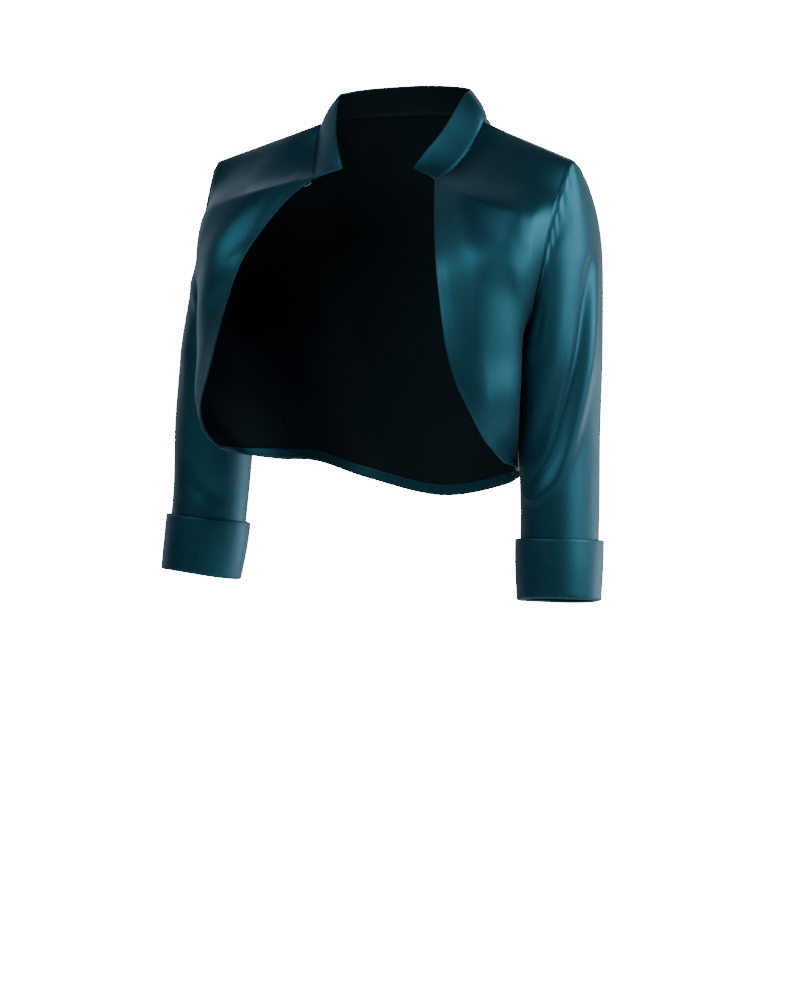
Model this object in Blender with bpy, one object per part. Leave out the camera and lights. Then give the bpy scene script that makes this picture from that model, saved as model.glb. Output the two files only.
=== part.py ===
# Bolero jacket: cropped, with open curved fronts, a stand collar and set-in
# three-quarter sleeves with turned-back cuffs, in the hollow form it has when worn.
# Metres, +Z up. The front faces -Y and the wearer's left is +X.
# The origin is the middle of the neck, level with the neck ends of the shoulder seams.
import math

import bpy
import bmesh
import numpy as np

# Driving sizes
MM = 0.001
WALL = 1.7 * MM
COLLAR_WALL = 2.2 * MM
SEAM_GAP = 0.36 * MM
FACING_WIDTH = 9.0 * MM
FACING_WALL = 1.0 * MM
FACING_CLEARANCE = 0.7 * MM
CUFF_DEPTH = 54.0 * MM
CUFF_WALL = 2.4 * MM
CUFF_FLARE = 1.6 * MM
CUFF_CLEARANCE = 0.8 * MM
HOOK_WIRE = 0.8 * MM
MITRE_LIMIT = 2.2
# The collar bows out by this much between its seam and its top, in millimetres
COLLAR_BOW = 2.2
COLLAR_PARTS = (0.0, 0.33, 0.67, 1.0)
# A facing starts this part of its width inside the edge
FACING_SET_BACK = 0.08
# A cuff's rounded edges, its belly and the room below the sleeve's end, in millimetres
CUFF_ROUND = 1.2
CUFF_CHAMFER = 0.8
CUFF_BELLY = 0.3
CUFF_ROOM = 0.4
# Points of two panels are one seam point when they agree to this part of a millimetre
KEY_STEPS = 64

# How finely the panels are cut into rows and columns
TURNS = 24
ARMHOLE_ROWS = TURNS // 2
SIDE_ROWS = 6
PANEL_ROWS = ARMHOLE_ROWS + SIDE_ROWS
NECK_ROWS = 4
SHOULDER_COLUMNS = 8
BACK_NECK_COLUMNS = 8
SLEEVE_ROWS = 20
CAP_PLACE = 0.42

# Hook and thread loop at the neck corners: sweep in degrees, reach in millimetres
FASTENING_STEPS = 8
LOOP_SWEEP = 190
LOOP_REACH = 3.4
HOOK_SWEEP = 200
HOOK_REACH = 3.0
FASTENING_DROP = 6.5
FASTENING_INSET = 1.5
WIRE_SIDES = 6

# Every table is in millimetres, for the wearer's left side: x is outwards, y is backwards.

# Armhole seam, by its turn round the arm: 0 is the shoulder, 90 the front, 180 under the arm
ARMHOLE = [
    # turn, x, y, z
    (0, 192, -22, -36),
    (30, 190.5, -42, -66),
    (60, 187.5, -56, -102),
    (90, 183, -64, -137),
    (120, 174, -60, -170),
    (150, 160, -36, -196),
    (180, 150, -8, -206),
    (210, 155, 20, -196),
    (240, 165, 40, -166),
    (270, 175, 46, -128),
    (300, 184, 34, -88),
    (330, 190, 8, -54),
]

# Side seam from the underarm to the hem
SIDE_SEAM = [
    # place, x, y, z
    (0.0, 150, -8, -206),
    (0.17, 140, -8, -226),
    (0.5, 134, -7, -262),
    (1.0, 131, -6, -326),
]

# Neckline seam and the collar's top edge, from the middle of the back to the front end
COLLAR = [
    # place, seam x, y, z, top x, y, z
    (0.0, 0, 50, 7, 0, 45, 35),
    (0.14, 38, 46, 6.5, 31, 40, 34),
    (0.28, 66, 35, 5, 55, 29, 32),
    (0.41, 83, 18, 3, 68, 14, 29),
    (0.52, 89, 0, 0, 70, -3, 24),
    (0.68, 84, -17, -24, 60, -25, -7),
    (0.84, 75, -37, -44, 47, -40, -30),
    (1.0, 66, -53, -52, 39, -46, -43),
]
SHOULDER_NECK_PLACE = 0.52

# Front edge from the collar's end down to where it has turned into the hem
FRONT_EDGE = [
    # place, x, y, z
    (0.0, 66, -53, -52),
    (0.09, 79, -77, -71),
    (0.19, 92, -100, -98),
    (0.30, 105, -120, -130),
    (0.42, 115, -130, -167),
    (0.53, 124, -135.5, -203),
    (0.64, 134, -135, -235),
    (0.75, 147, -129, -265),
    (0.84, 153.5, -116, -288),
    (0.92, 156, -98, -302),
    (1.0, 156, -80, -312),
]

# Front panel, level by level from the shoulder to the hem:
# the tuck beside the arm, the corner before the arm, and the fullness of the breast
FRONT_SECTIONS = [
    # place, tuck x, tuck y, corner x, corner y, breast x, breast y
    (0.0, 169.3, -17.2, 145.6, -12, 117.8, -6),
    (0.11, 172, -46, 150, -48, 119, -45),
    (0.22, 178, -75, 156, -85, 113, -82),
    (0.37, 180, -82, 167, -99, 135, -113),
    (0.50, 174, -69, 173, -90, 148, -120),
    (0.667, 148, -45, 172, -82, 156, -119),
    (0.833, 141, -46, 169, -80, 161, -112),
    (1.0, 139, -26, 149, -44, 155, -62),
]
FRONT_KNOTS = (0.0, 0.22, 0.45, 0.72, 1.0)

# Back panel, level by level: the rounding behind the arm, the shoulder blade, the middle,
# and how much of the drop to the middle is reached at the first two
BACK_SECTIONS = [
    # place, wide x, wide y, blade x, blade y, middle y, middle z, wide share, blade share
    (0.0, 140.5, -11, 89, 0, 50, 7, 0.42, 0.84),
    (0.22, 152, 58, 92, 72, 78, -54, 0.45, 0.8),
    (0.44, 149, 68, 96, 84, 87, -131, 0.45, 0.8),
    (0.667, 141, 48, 97, 80, 84, -206, 0.45, 0.8),
    (0.833, 127, 40, 86, 74, 80, -283, 0.25, 0.7),
    (1.0, 115, 34, 76, 65, 77, -362, 0.12, 0.6),
]
BACK_KNOTS = (0.0, 1 / 3, 2 / 3, 1.0)
SHOULDER_SHARE = 2 / 3
NECK_BLEND = 0.24

# Middle line and half widths of each sleeve below the cap: out from the side, and fore and aft
LEFT_SLEEVE = [
    # place, x, y, z, half out, half fore
    (0.0, 179.5, -20, -226, 37.5, 49),
    (0.30, 180, -21, -291, 36, 46),
    (0.60, 184.5, -27, -355, 35, 43),
    (0.82, 187, -33, -401, 35, 41.5),
    (1.0, 190, -39, -439, 35, 40.5),
]
RIGHT_SLEEVE = [
    (0.0, 192.5, -18, -226, 37.5, 49),
    (0.30, 201, -19, -291, 36, 46),
    (0.60, 203.5, -22, -355, 35, 43),
    (0.82, 206, -27, -401, 35, 41.5),
    (1.0, 209, -33, -439, 35, 40.5),
]

# How a sleeve's cap leaves the armhole: it is fuller behind the arm than before it
CAP_OUT_BEHIND = 0.5
CAP_OUT_TOP = 0.2
CAP_AFT_BEFORE = 0.22
CAP_AFT_BEHIND = 0.4
CAP_SINK = 0.62
CAP_RISE_BEFORE = 35.0
CAP_RISE_BEHIND = 98.0
CAP_DROP = 140.0
CAP_SPREAD = 26.0
FOLDS_START = 0.12
FOLDS_END = 0.77
FOLDS_FADE = 0.08

# Largest soft folds of the cloth: on a panel as seen from the front or back, in millimetres,
# and on a sleeve by the turn round it in degrees and the height in millimetres.
# A positive height stands out of the cloth, a negative one sinks into it.
LEFT_SLEEVE_FOLDS = [
    # turn and z at the start, turn and z at the end, width, height
    (35, -190, 70, -330, 17, 2.4),
    (70, -330, 135, -398, 13, 3.0),
    (95, -318, 140, -372, 12, -2.6),
    (60, -85, 100, -150, 10, -2.0),
    (250, -205, 215, -330, 15, 2.2),
    (290, -360, 215, -400, 12, -2.4),
]
RIGHT_SLEEVE_FOLDS = [
    (25, -150, 75, -205, 10, 2.4),
    (60, -185, 110, -300, 15, 2.0),
    (75, -320, 140, -372, 13, -2.6),
    (20, -372, 110, -384, 8, 2.0),
    (285, -190, 235, -330, 15, 2.2),
    (290, -350, 215, -398, 12, -2.4),
]
FRONT_FOLDS = [
    # x and z at the start, x and z at the end, width, height
    (112, -112, 172, -168, 15, 2.0),
    (150, -190, 172, -285, 11, -2.0),
    (95, -62, 150, -112, 17, -1.8),
]
BACK_FOLDS = [
    (150, -120, 96, -210, 18, 2.4),
    (128, -255, 40, -300, 16, -2.4),
    (-150, -135, -84, -232, 17, 2.2),
    (-124, -290, -30, -322, 15, 2.2),
    (-20, -90, 30, -190, 20, -1.6),
]

# Colours and finishes
SATIN_TEAL = (0.011, 0.090, 0.124, 1.0)
SATIN_ROUGHNESS = 0.36
THREAD_GREY = (0.20, 0.33, 0.36, 1.0)
THREAD_ROUGHNESS = 0.7
METAL_GREY = (0.56, 0.55, 0.52, 1.0)
METAL_ROUGHNESS = 0.3


# Smooth curves through tables

def smooth_through(places, values, place):
    """Value at a place on the smooth curve through the values given at rising places."""
    values = np.asarray(values, dtype=float)
    last = len(places) - 1
    low = int(np.clip(np.searchsorted(places, place, side="right") - 1, 0, last - 1))

    def slope(index):
        before = max(index - 1, 0)
        after = min(index + 1, last)
        return (values[after] - values[before]) / (places[after] - places[before])

    span = places[low + 1] - places[low]
    part = (place - places[low]) / span
    start_weight = 2 * part**3 - 3 * part**2 + 1
    end_weight = 1 - start_weight
    start_pull = (part**3 - 2 * part**2 + part) * span
    end_pull = (part**3 - part**2) * span
    curve = start_weight * values[low] + end_weight * values[low + 1]
    return curve + start_pull * slope(low) + end_pull * slope(low + 1)


def table_at(table, place):
    """A table's columns after the first, read smoothly at a place in the first column."""
    places = [row[0] for row in table]
    values = [row[1:] for row in table]
    return smooth_through(places, values, place)


def unit(vector):
    return vector / max(float(np.linalg.norm(vector)), 1e-12)


def ease(part):
    """A smooth step from 0 to 1."""
    part = min(max(part, 0.0), 1.0)
    return part * part * (3 - 2 * part)


# Seam and edge lines of the left half

def armhole(turn):
    before = [(row[0] - 360,) + row[1:] for row in ARMHOLE[-2:]]
    after = [(row[0] + 360,) + row[1:] for row in ARMHOLE[:2]]
    return table_at(before + ARMHOLE + after, turn % 360)


def outer_line(place, behind):
    """The panel's outer border: half of the armhole, then the side seam."""
    row = place * PANEL_ROWS
    if row <= ARMHOLE_ROWS:
        turn = 180 * row / ARMHOLE_ROWS
        return armhole(360 - turn if behind else turn)
    return table_at(SIDE_SEAM, (row - ARMHOLE_ROWS) / SIDE_ROWS)


def neckline(place):
    return table_at(COLLAR, place)[:3]


def collar_top(place):
    return table_at(COLLAR, place)[3:]


def front_line(place):
    """The front's inner border: the neckline from the shoulder, then the free edge."""
    row = place * PANEL_ROWS
    if row <= NECK_ROWS:
        part = row / NECK_ROWS
        return neckline(SHOULDER_NECK_PLACE + part * (1 - SHOULDER_NECK_PLACE))
    return table_at(FRONT_EDGE, (row - NECK_ROWS) / (PANEL_ROWS - NECK_ROWS))


def fold_height(folds, across, along):
    """Height of all folds at a point, from each fold's line, width and taper."""
    height = 0.0
    for start_across, start_along, end_across, end_along, width, rise in folds:
        line = np.array([end_across - start_across, end_along - start_along], dtype=float)
        length = float(np.linalg.norm(line))
        offset = np.array([across - start_across, along - start_along])
        part = float(offset @ line) / length**2
        aside = abs(offset[0] * line[1] - offset[1] * line[0]) / length
        beyond = max(-part, part - 1, 0.0) * length
        taper = 0.55 + 0.45 * math.sin(math.pi * min(max(part, 0.0), 1.0))
        height += rise * taper * math.exp(-(aside**2 + beyond**2) / width**2)
    return height


# Surfaces of the left half, in millimetres, before they are given a wall

def front_base(place, across):
    outer = outer_line(place, behind=False)
    inner = front_line(place)
    tuck_x, tuck_y, corner_x, corner_y, breast_x, breast_y = table_at(FRONT_SECTIONS, place)
    levels = [outer[2] + knot * (inner[2] - outer[2]) for knot in FRONT_KNOTS]
    points = [
        outer,
        (tuck_x, tuck_y, levels[1]),
        (corner_x, corner_y, levels[2]),
        (breast_x, breast_y, levels[3]),
        inner,
    ]
    return smooth_through(FRONT_KNOTS, points, across)


def front_point(place, across):
    """A point of the front: 0 across is the armhole or side seam, 1 is the free edge."""
    fade = 1 - ease(place / NECK_BLEND)
    straight = (1 - across) * armhole(0) + across * neckline(SHOULDER_NECK_PLACE)
    return front_base(place, across) + fade * (straight - front_base(0.0, across))


def back_base(place, across):
    outer = outer_line(place, behind=True)
    section = table_at(BACK_SECTIONS, place)
    wide_x, wide_y, blade_x, blade_y, middle_y, middle_z, wide_share, blade_share = section
    rise = middle_z - outer[2]
    half = [
        (outer[0], outer[1], outer[2]),
        (wide_x, wide_y, outer[2] + rise * wide_share),
        (blade_x, blade_y, outer[2] + rise * blade_share),
        (0.0, middle_y, middle_z),
    ]
    mirrored = [(-x, y, z) for x, y, z in reversed(half[:-1])]
    knots = list(BACK_KNOTS) + [2 - knot for knot in reversed(BACK_KNOTS[:-1])]
    return smooth_through(knots, half + mirrored, across)


def shoulder_and_neck(across):
    """The back's top border: the shoulder seam, then the neckline to the middle."""
    if across <= SHOULDER_SHARE:
        part = across / SHOULDER_SHARE
        return (1 - part) * armhole(0) + part * neckline(SHOULDER_NECK_PLACE)
    part = (across - SHOULDER_SHARE) / (1 - SHOULDER_SHARE)
    return neckline(SHOULDER_NECK_PLACE * (1 - part))


def back_point(place, across):
    """A point of the back: 0 across is the left side, 1 the middle, 2 the right side."""
    side = 1 if across <= 1 else -1
    near = across if across <= 1 else 2 - across
    point = back_base(place, near)
    fade = 1 - ease(place / NECK_BLEND)
    point = point + fade * (shoulder_and_neck(near) - back_base(0.0, near))
    return point * np.array([side, 1, 1])


def sleeve_frame(table, place):
    """Middle, half widths and directions of a sleeve ring."""
    x, y, z, half_out, half_fore = table_at(table, place)
    step = 0.02
    below = table_at(table, min(place + step, 1.0))[:3]
    above = table_at(table, max(place - step, 0.0))[:3]
    down = unit(below - above)
    out = unit(np.array([1.0, 0.0, 0.0]) - down[0] * down)
    fore = np.cross(out, down)
    fore = unit(fore if fore[1] < 0 else -fore)
    return np.array([x, y, z]), half_out, half_fore, out, fore, down


def sleeve_ring(table, place, turn):
    middle, half_out, half_fore, out, fore, _ = sleeve_frame(table, place)
    angle = math.radians(turn)
    return middle + out * half_out * math.cos(angle) + fore * half_fore * math.sin(angle)


def sleeve_point(table, folds, place, turn):
    """A point of a sleeve: 0 is the armhole, 1 the end; the cap fills the first part."""
    if place >= CAP_PLACE:
        point = sleeve_ring(table, (place - CAP_PLACE) / (1 - CAP_PLACE), turn)
    else:
        point = cap_point(table, place / CAP_PLACE, turn)
    middle, _, _, out, fore, _ = sleeve_frame(table, max(place - CAP_PLACE, 0) / (1 - CAP_PLACE))
    angle = math.radians(turn)
    away = out * math.cos(angle) + fore * math.sin(angle)
    shown = ease(place / FOLDS_START) * (1 - ease((place - FOLDS_END) / FOLDS_FADE))
    return point + away * fold_height(folds, turn % 360, point[2]) * shown


def cap_point(table, part, turn):
    """The cap: each line leaves the armhole outwards and runs down into the sleeve."""
    angle = math.radians(turn)
    start = armhole(turn)
    end = sleeve_ring(table, 0.0, turn)
    _, _, _, _, _, down = sleeve_frame(table, 0.0)
    top = (1 + math.cos(angle)) / 2
    behind = (1 - math.sin(angle)) / 2
    aft = CAP_AFT_BEFORE * max(math.sin(angle), 0) + CAP_AFT_BEHIND * max(-math.sin(angle), 0)
    spread = np.array([CAP_OUT_BEHIND * behind + CAP_OUT_TOP * top, aft, -CAP_SINK])
    rise = CAP_RISE_BEFORE + (CAP_RISE_BEHIND - CAP_RISE_BEFORE) * behind
    start_pull = unit(spread) * (CAP_SPREAD + (rise - CAP_SPREAD) * top)
    end_pull = down * (CAP_SPREAD + (CAP_DROP - CAP_SPREAD) * top)
    places = 2 * part**3 - 3 * part**2 + 1
    curve = places * start + (1 - places) * end
    curve = curve + (part**3 - 2 * part**2 + part) * start_pull
    return curve + (part**3 - part**2) * end_pull


# Grids of points

def front_grid():
    rows = []
    for row in range(PANEL_ROWS + 1):
        place = row / PANEL_ROWS
        columns = range(SHOULDER_COLUMNS + 1)
        rows.append([front_point(place, column / SHOULDER_COLUMNS) for column in columns])
    return np.array(rows)


def back_columns():
    """Places across the back of its columns, from the left side to the right."""
    shoulder = [SHOULDER_SHARE * c / SHOULDER_COLUMNS for c in range(SHOULDER_COLUMNS)]
    half_neck = BACK_NECK_COLUMNS // 2
    neck = [SHOULDER_SHARE + (1 - SHOULDER_SHARE) * c / half_neck for c in range(half_neck)]
    half = shoulder + neck
    return half + [1.0] + [2 - across for across in reversed(half)]


def back_grid():
    rows = []
    for row in range(PANEL_ROWS + 1):
        rows.append([back_point(row / PANEL_ROWS, across) for across in back_columns()])
    return np.array(rows)


def sleeve_grid(table, folds):
    rows = []
    for row in range(SLEEVE_ROWS + 1):
        place = row / SLEEVE_ROWS
        rows.append([sleeve_point(table, folds, place, 360 * t / TURNS) for t in range(TURNS)])
    return np.array(rows)


def collar_places():
    """Places of the collar's stations, from its left end round the back to its right end."""
    front = 1 - SHOULDER_NECK_PLACE
    places = [1 - front * row / NECK_ROWS for row in range(NECK_ROWS)]
    half_neck = BACK_NECK_COLUMNS // 2
    places += [SHOULDER_NECK_PLACE * (1 - c / half_neck) for c in range(half_neck)]
    left = [(place, 1) for place in places]
    right = [(place, -1) for place in reversed(places)]
    return left + [(0.0, 1)] + right


def collar_grid():
    rows = []
    for part in COLLAR_PARTS:
        line = []
        for place, side in collar_places():
            bow = COLLAR_BOW * math.sin(math.pi * part)
            point = (1 - part) * neckline(place) + part * collar_top(place)
            outward = unit(np.array([point[0], point[1] * 0.8, 0.0]))
            line.append((point + outward * bow) * np.array([side, 1, 1]))
        rows.append(line)
    return np.array(rows)


def grid_normals(grid, closed, outward):
    """Unit normals of a grid, turned outwards by the sign given."""
    if closed:
        along = np.roll(grid, -1, axis=1) - np.roll(grid, 1, axis=1)
    else:
        along = np.gradient(grid, axis=1)
    down = np.gradient(grid, axis=0)
    normals = np.cross(along, down) * outward
    lengths = np.linalg.norm(normals, axis=2, keepdims=True)
    return normals / np.maximum(lengths, 1e-9)


def add_folds(grid, normals, folds):
    """Moves the inner points of a panel along their normals by its folds."""
    raised = grid.copy()
    rows, columns = grid.shape[:2]
    for row in range(1, rows):
        for column in range(1, columns - 1):
            x, _, z = grid[row, column]
            fade = min(1.0, column / 2, (columns - 1 - column) / 2, row / 2)
            raised[row, column] += normals[row, column] * fold_height(folds, x, z) * fade
    return raised


# Seams: a shared direction through the wall, and half of the gap on each side

class Seams:
    """The directions through the wall at points where panels meet."""

    def __init__(self):
        self.normals = {}
        self.armholes = {}

    def key(self, point):
        return tuple(int(round(float(value) * KEY_STEPS)) for value in point)

    def add(self, point, normal):
        self.normals.setdefault(self.key(point), []).append(normal)

    def add_armhole(self, side):
        """Along an armhole the wall points away from the middle of the armhole."""
        flip = np.array([side, 1, 1])
        points = np.array([armhole(360 * turn / TURNS) for turn in range(TURNS)])
        middle = points.mean(axis=0)
        for index in range(TURNS):
            tangent = unit(points[(index + 1) % TURNS] - points[index - 1])
            away = points[index] - middle
            away = unit(away - tangent * float(away @ tangent))
            to_body = unit(np.cross(tangent, away))
            self.armholes[self.key(points[index] * flip)] = (away * flip, to_body * flip)

    def through(self, point):
        key = self.key(point)
        if key in self.armholes:
            return self.armholes[key][0]
        return unit(sum(self.normals[key]))

    def to_body(self, point):
        """Direction from an armhole's seam to the body's side of it, or none elsewhere."""
        found = self.armholes.get(self.key(point))
        return found[1] if found else np.zeros(3)


def seam_shift(grid, normals, cells):
    """Moves along a border that part a panel from its neighbour by half of the seam gap."""
    shift = np.zeros_like(grid)
    rows, columns = grid.shape[:2]
    for index, (row, column) in enumerate(cells):
        after = cells[min(index + 1, len(cells) - 1)]
        before = cells[max(index - 1, 0)]
        tangent = unit(grid[after] - grid[before])
        across = unit(np.cross(tangent, normals[row, column]))
        near_row = min(max(row, 1), rows - 2)
        near_column = min(max(column, 1), columns - 2)
        inward = float((grid[near_row, near_column] - grid[row, column]) @ across)
        shift[row, column] += across * math.copysign(SEAM_GAP / MM / 2, inward)
    return shift


def column_cells(column, first_row, last_row):
    return [(row, column) for row in range(first_row, last_row + 1)]


def row_cells(row, first_column, last_column):
    return [(row, column) for column in range(first_column, last_column + 1)]


FRONT_SEAMS = [
    row_cells(0, 0, SHOULDER_COLUMNS),
    column_cells(0, ARMHOLE_ROWS, PANEL_ROWS),
    column_cells(SHOULDER_COLUMNS, 0, NECK_ROWS),
]
BACK_LAST = 2 * SHOULDER_COLUMNS + BACK_NECK_COLUMNS
BACK_SEAMS = [
    row_cells(0, 0, SHOULDER_COLUMNS),
    row_cells(0, SHOULDER_COLUMNS, BACK_LAST - SHOULDER_COLUMNS),
    row_cells(0, BACK_LAST - SHOULDER_COLUMNS, BACK_LAST),
    column_cells(0, ARMHOLE_ROWS, PANEL_ROWS),
    column_cells(BACK_LAST, ARMHOLE_ROWS, PANEL_ROWS),
]
COLLAR_SEAMS = [row_cells(0, 0, 2 * NECK_ROWS + BACK_NECK_COLUMNS)]


# Making the solids

def material(name, colour, roughness, metallic):
    made = bpy.data.materials.new(name)
    made.use_nodes = True
    shader = made.node_tree.nodes["Principled BSDF"]
    shader.inputs["Base Color"].default_value = colour
    shader.inputs["Roughness"].default_value = roughness
    shader.inputs["Metallic"].default_value = metallic
    return made


def add_object(name, vertices, faces, collection, finish):
    mesh = bpy.data.meshes.new(name)
    mesh.from_pydata([tuple(vertex) for vertex in vertices], [], faces)
    shape = bmesh.new()
    shape.from_mesh(mesh)
    bmesh.ops.recalc_face_normals(shape, faces=shape.faces[:])
    shape.to_mesh(mesh)
    shape.free()
    mesh.shade_smooth()
    mesh.set_sharp_from_angle(angle=math.radians(40))
    mesh.materials.append(finish)
    made = bpy.data.objects.new(name, mesh)
    collection.objects.link(made)
    return made


def wall_from_grids(outer, inner, closed):
    """Vertices and faces of the closed wall between two grids."""
    rows, columns = outer.shape[:2]
    count = rows * columns
    vertices = np.concatenate([outer.reshape(-1, 3), inner.reshape(-1, 3)]) * MM
    faces = []
    spans = columns if closed else columns - 1

    def corner(row, column, layer):
        return layer * count + row * columns + column % columns

    def rim(start, end):
        faces.append([corner(*start, 0), corner(*end, 0), corner(*end, 1), corner(*start, 1)])

    for row in range(rows - 1):
        for column in range(spans):
            start, end = (row, column), (row + 1, column + 1)
            for layer in (0, 1):
                for third in ((row, column + 1), (row + 1, column)):
                    faces.append([corner(*start, layer), corner(*third, layer), corner(*end, layer)])
    for column in range(spans):
        rim((0, column), (0, column + 1))
        rim((rows - 1, column), (rows - 1, column + 1))
    if not closed:
        for row in range(rows - 1):
            rim((row, 0), (row + 1, 0))
            rim((row, columns - 1), (row + 1, columns - 1))
    return vertices, faces


def tube_from_rings(rings, closed):
    """Vertices and faces of a solid through rings of points; an open one gets two ends."""
    count, size = rings.shape[:2]
    vertices = rings.reshape(-1, 3) * MM
    faces = []
    for ring in range(count if closed else count - 1):
        low, high = ring * size, (ring + 1) % count * size
        for index in range(size):
            after = (index + 1) % size
            faces.append([low + index, low + after, high + after])
            faces.append([low + index, high + after, high + index])
    if not closed:
        faces.append(list(range(size)))
        faces.append([(count - 1) * size + index for index in reversed(range(size))])
    return vertices, faces


class Panel:
    """A piece of cloth: its outer points, normals and directions through the wall."""

    def __init__(self, name, grid, outward, closed=False, wall=WALL, seam_cells=()):
        self.name = name
        self.grid = grid
        self.closed = closed
        self.wall = wall
        self.seam_cells = seam_cells
        self.normals = grid_normals(grid, closed, outward)

    def note_seams(self, seams):
        for point, normal in zip(self.grid.reshape(-1, 3), self.normals.reshape(-1, 3)):
            seams.add(point, normal)

    def settle(self, seams, armhole_side):
        """Parts the panel from its neighbours and works out its wall."""
        shift = np.zeros_like(self.grid)
        for cells in self.seam_cells:
            shift += seam_shift(self.grid, self.normals, cells)
        through = np.zeros_like(self.grid)
        for cell in np.ndindex(*self.grid.shape[:2]):
            through[cell] = seams.through(self.grid[cell])
            shift[cell] += seams.to_body(self.grid[cell]) * armhole_side * SEAM_GAP / MM / 2
        self.outer = self.grid + shift
        slant = (self.normals * through).sum(axis=2, keepdims=True)
        self.through = through / np.maximum(slant, 1 / MITRE_LIMIT)
        self.inner = self.outer - self.through * self.wall / MM

    def build(self, collection, finish):
        vertices, faces = wall_from_grids(self.outer, self.inner, self.closed)
        return add_object(self.name, vertices, faces, collection, finish)


def facing_wall(panel, pairs):
    """A narrow strip inside a panel's border; pairs are border cells and the next inner ones."""
    clear = (panel.wall + FACING_CLEARANCE) / MM
    deep = clear + FACING_WALL / MM
    near_face = []
    far_face = []
    for border_cell, inner_cell in pairs:
        across = panel.outer[inner_cell] - panel.outer[border_cell]
        width = FACING_WIDTH / MM / float(np.linalg.norm(across))
        edge = panel.outer[border_cell] + across * width * FACING_SET_BACK
        inset = panel.outer[border_cell] + across * width
        edge_in = panel.through[border_cell]
        inset_in = edge_in + (panel.through[inner_cell] - edge_in) * width
        near_face.append([edge - edge_in * clear, inset - inset_in * clear])
        far_face.append([edge - edge_in * deep, inset - inset_in * deep])
    return wall_from_grids(np.array(near_face), np.array(far_face), closed=False)


def front_facing(panel):
    """Down the front edge from the collar's end, round the corner and along the front hem."""
    last = SHOULDER_COLUMNS
    pairs = [((row, last), (row, last - 1)) for row in range(NECK_ROWS, PANEL_ROWS)]
    pairs.append(((PANEL_ROWS, last), (PANEL_ROWS - 1, last - 1)))
    pairs += [((PANEL_ROWS, c), (PANEL_ROWS - 1, c)) for c in range(last - 1, -1, -1)]
    return facing_wall(panel, pairs)


def back_facing(panel):
    pairs = [((PANEL_ROWS, c), (PANEL_ROWS - 1, c)) for c in range(BACK_LAST + 1)]
    return facing_wall(panel, pairs)


def cuff_rings(table, folds, side):
    """A turned-back cuff: a wall outside the sleeve that also closes in below its end."""
    cloth = WALL / MM
    wall = CUFF_WALL / MM
    flare = CUFF_FLARE / MM
    depth = CUFF_DEPTH / MM
    clear = CUFF_CLEARANCE / MM
    length = math.dist(table[0][1:4], table[-1][1:4]) / (1 - CAP_PLACE)
    row_rise = length / SLEEVE_ROWS
    profile = [
        # away from the sleeve's outer face, up from the sleeve's end
        (-cloth, -CUFF_ROOM),
        (-cloth, -wall + CUFF_CHAMFER),
        (-cloth + CUFF_CHAMFER, -wall),
        (clear + wall - CUFF_ROUND, -wall),
        (clear + wall, -CUFF_ROUND),
        (clear + wall + CUFF_BELLY, depth / 2),
        (clear + wall + flare, depth - CUFF_CHAMFER),
        (clear + wall / 2 + flare, depth),
        (clear + flare, depth - CUFF_CHAMFER),
        (clear + flare / 2, row_rise * 2),
        (clear, row_rise),
        (clear, -CUFF_ROOM),
    ]
    _, half_out, half_fore, out, fore, down = sleeve_frame(table, 1.0)
    rings = []
    for turn in range(TURNS):
        angle = math.radians(360 * turn / TURNS)
        outward = unit(out * math.cos(angle) / half_out + fore * math.sin(angle) / half_fore)
        ring = []
        for away, rise in profile:
            place = 1 - max(rise, 0.0) / length
            base = sleeve_point(table, folds, place, 360 * turn / TURNS)
            ring.append(base + outward * away + down * max(-rise, 0.0))
        rings.append(ring)
    return np.array(rings) * np.array([side, 1, 1])


def wire_rings(points):
    """Sections along a thin flat arc of wire."""
    upright = unit(np.cross(points[1] - points[0], points[-1] - points[0]))
    rings = []
    for index, point in enumerate(points):
        ahead = points[min(index + 1, len(points) - 1)] - points[max(index - 1, 0)]
        along = unit(ahead)
        side = unit(np.cross(along, upright))
        up = np.cross(along, side)
        angles = [2 * math.pi * k / WIRE_SIDES for k in range(WIRE_SIDES)]
        radius = HOOK_WIRE / MM / 2
        rings.append([point + (side * math.cos(a) + up * math.sin(a)) * radius for a in angles])
    return np.array(rings)


def fastening_path(panel, sweep, reach):
    """An arc of wire that lies just inside the neck corner of a front."""
    corner = panel.inner[NECK_ROWS, SHOULDER_COLUMNS]
    down = unit(panel.inner[NECK_ROWS + 1, SHOULDER_COLUMNS] - corner)
    inside = unit(panel.inner[NECK_ROWS, SHOULDER_COLUMNS - 1] - corner)
    away = -unit(panel.through[NECK_ROWS, SHOULDER_COLUMNS])
    stand = (FACING_CLEARANCE + FACING_WALL + SEAM_GAP + HOOK_WIRE) / MM
    middle = corner + down * FASTENING_DROP + inside * FASTENING_INSET + away * stand
    points = []
    for step in range(FASTENING_STEPS + 1):
        angle = math.radians(-sweep / 2 + sweep * step / FASTENING_STEPS)
        points.append(middle - inside * reach * math.cos(angle) + down * reach * math.sin(angle))
    return points


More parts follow.
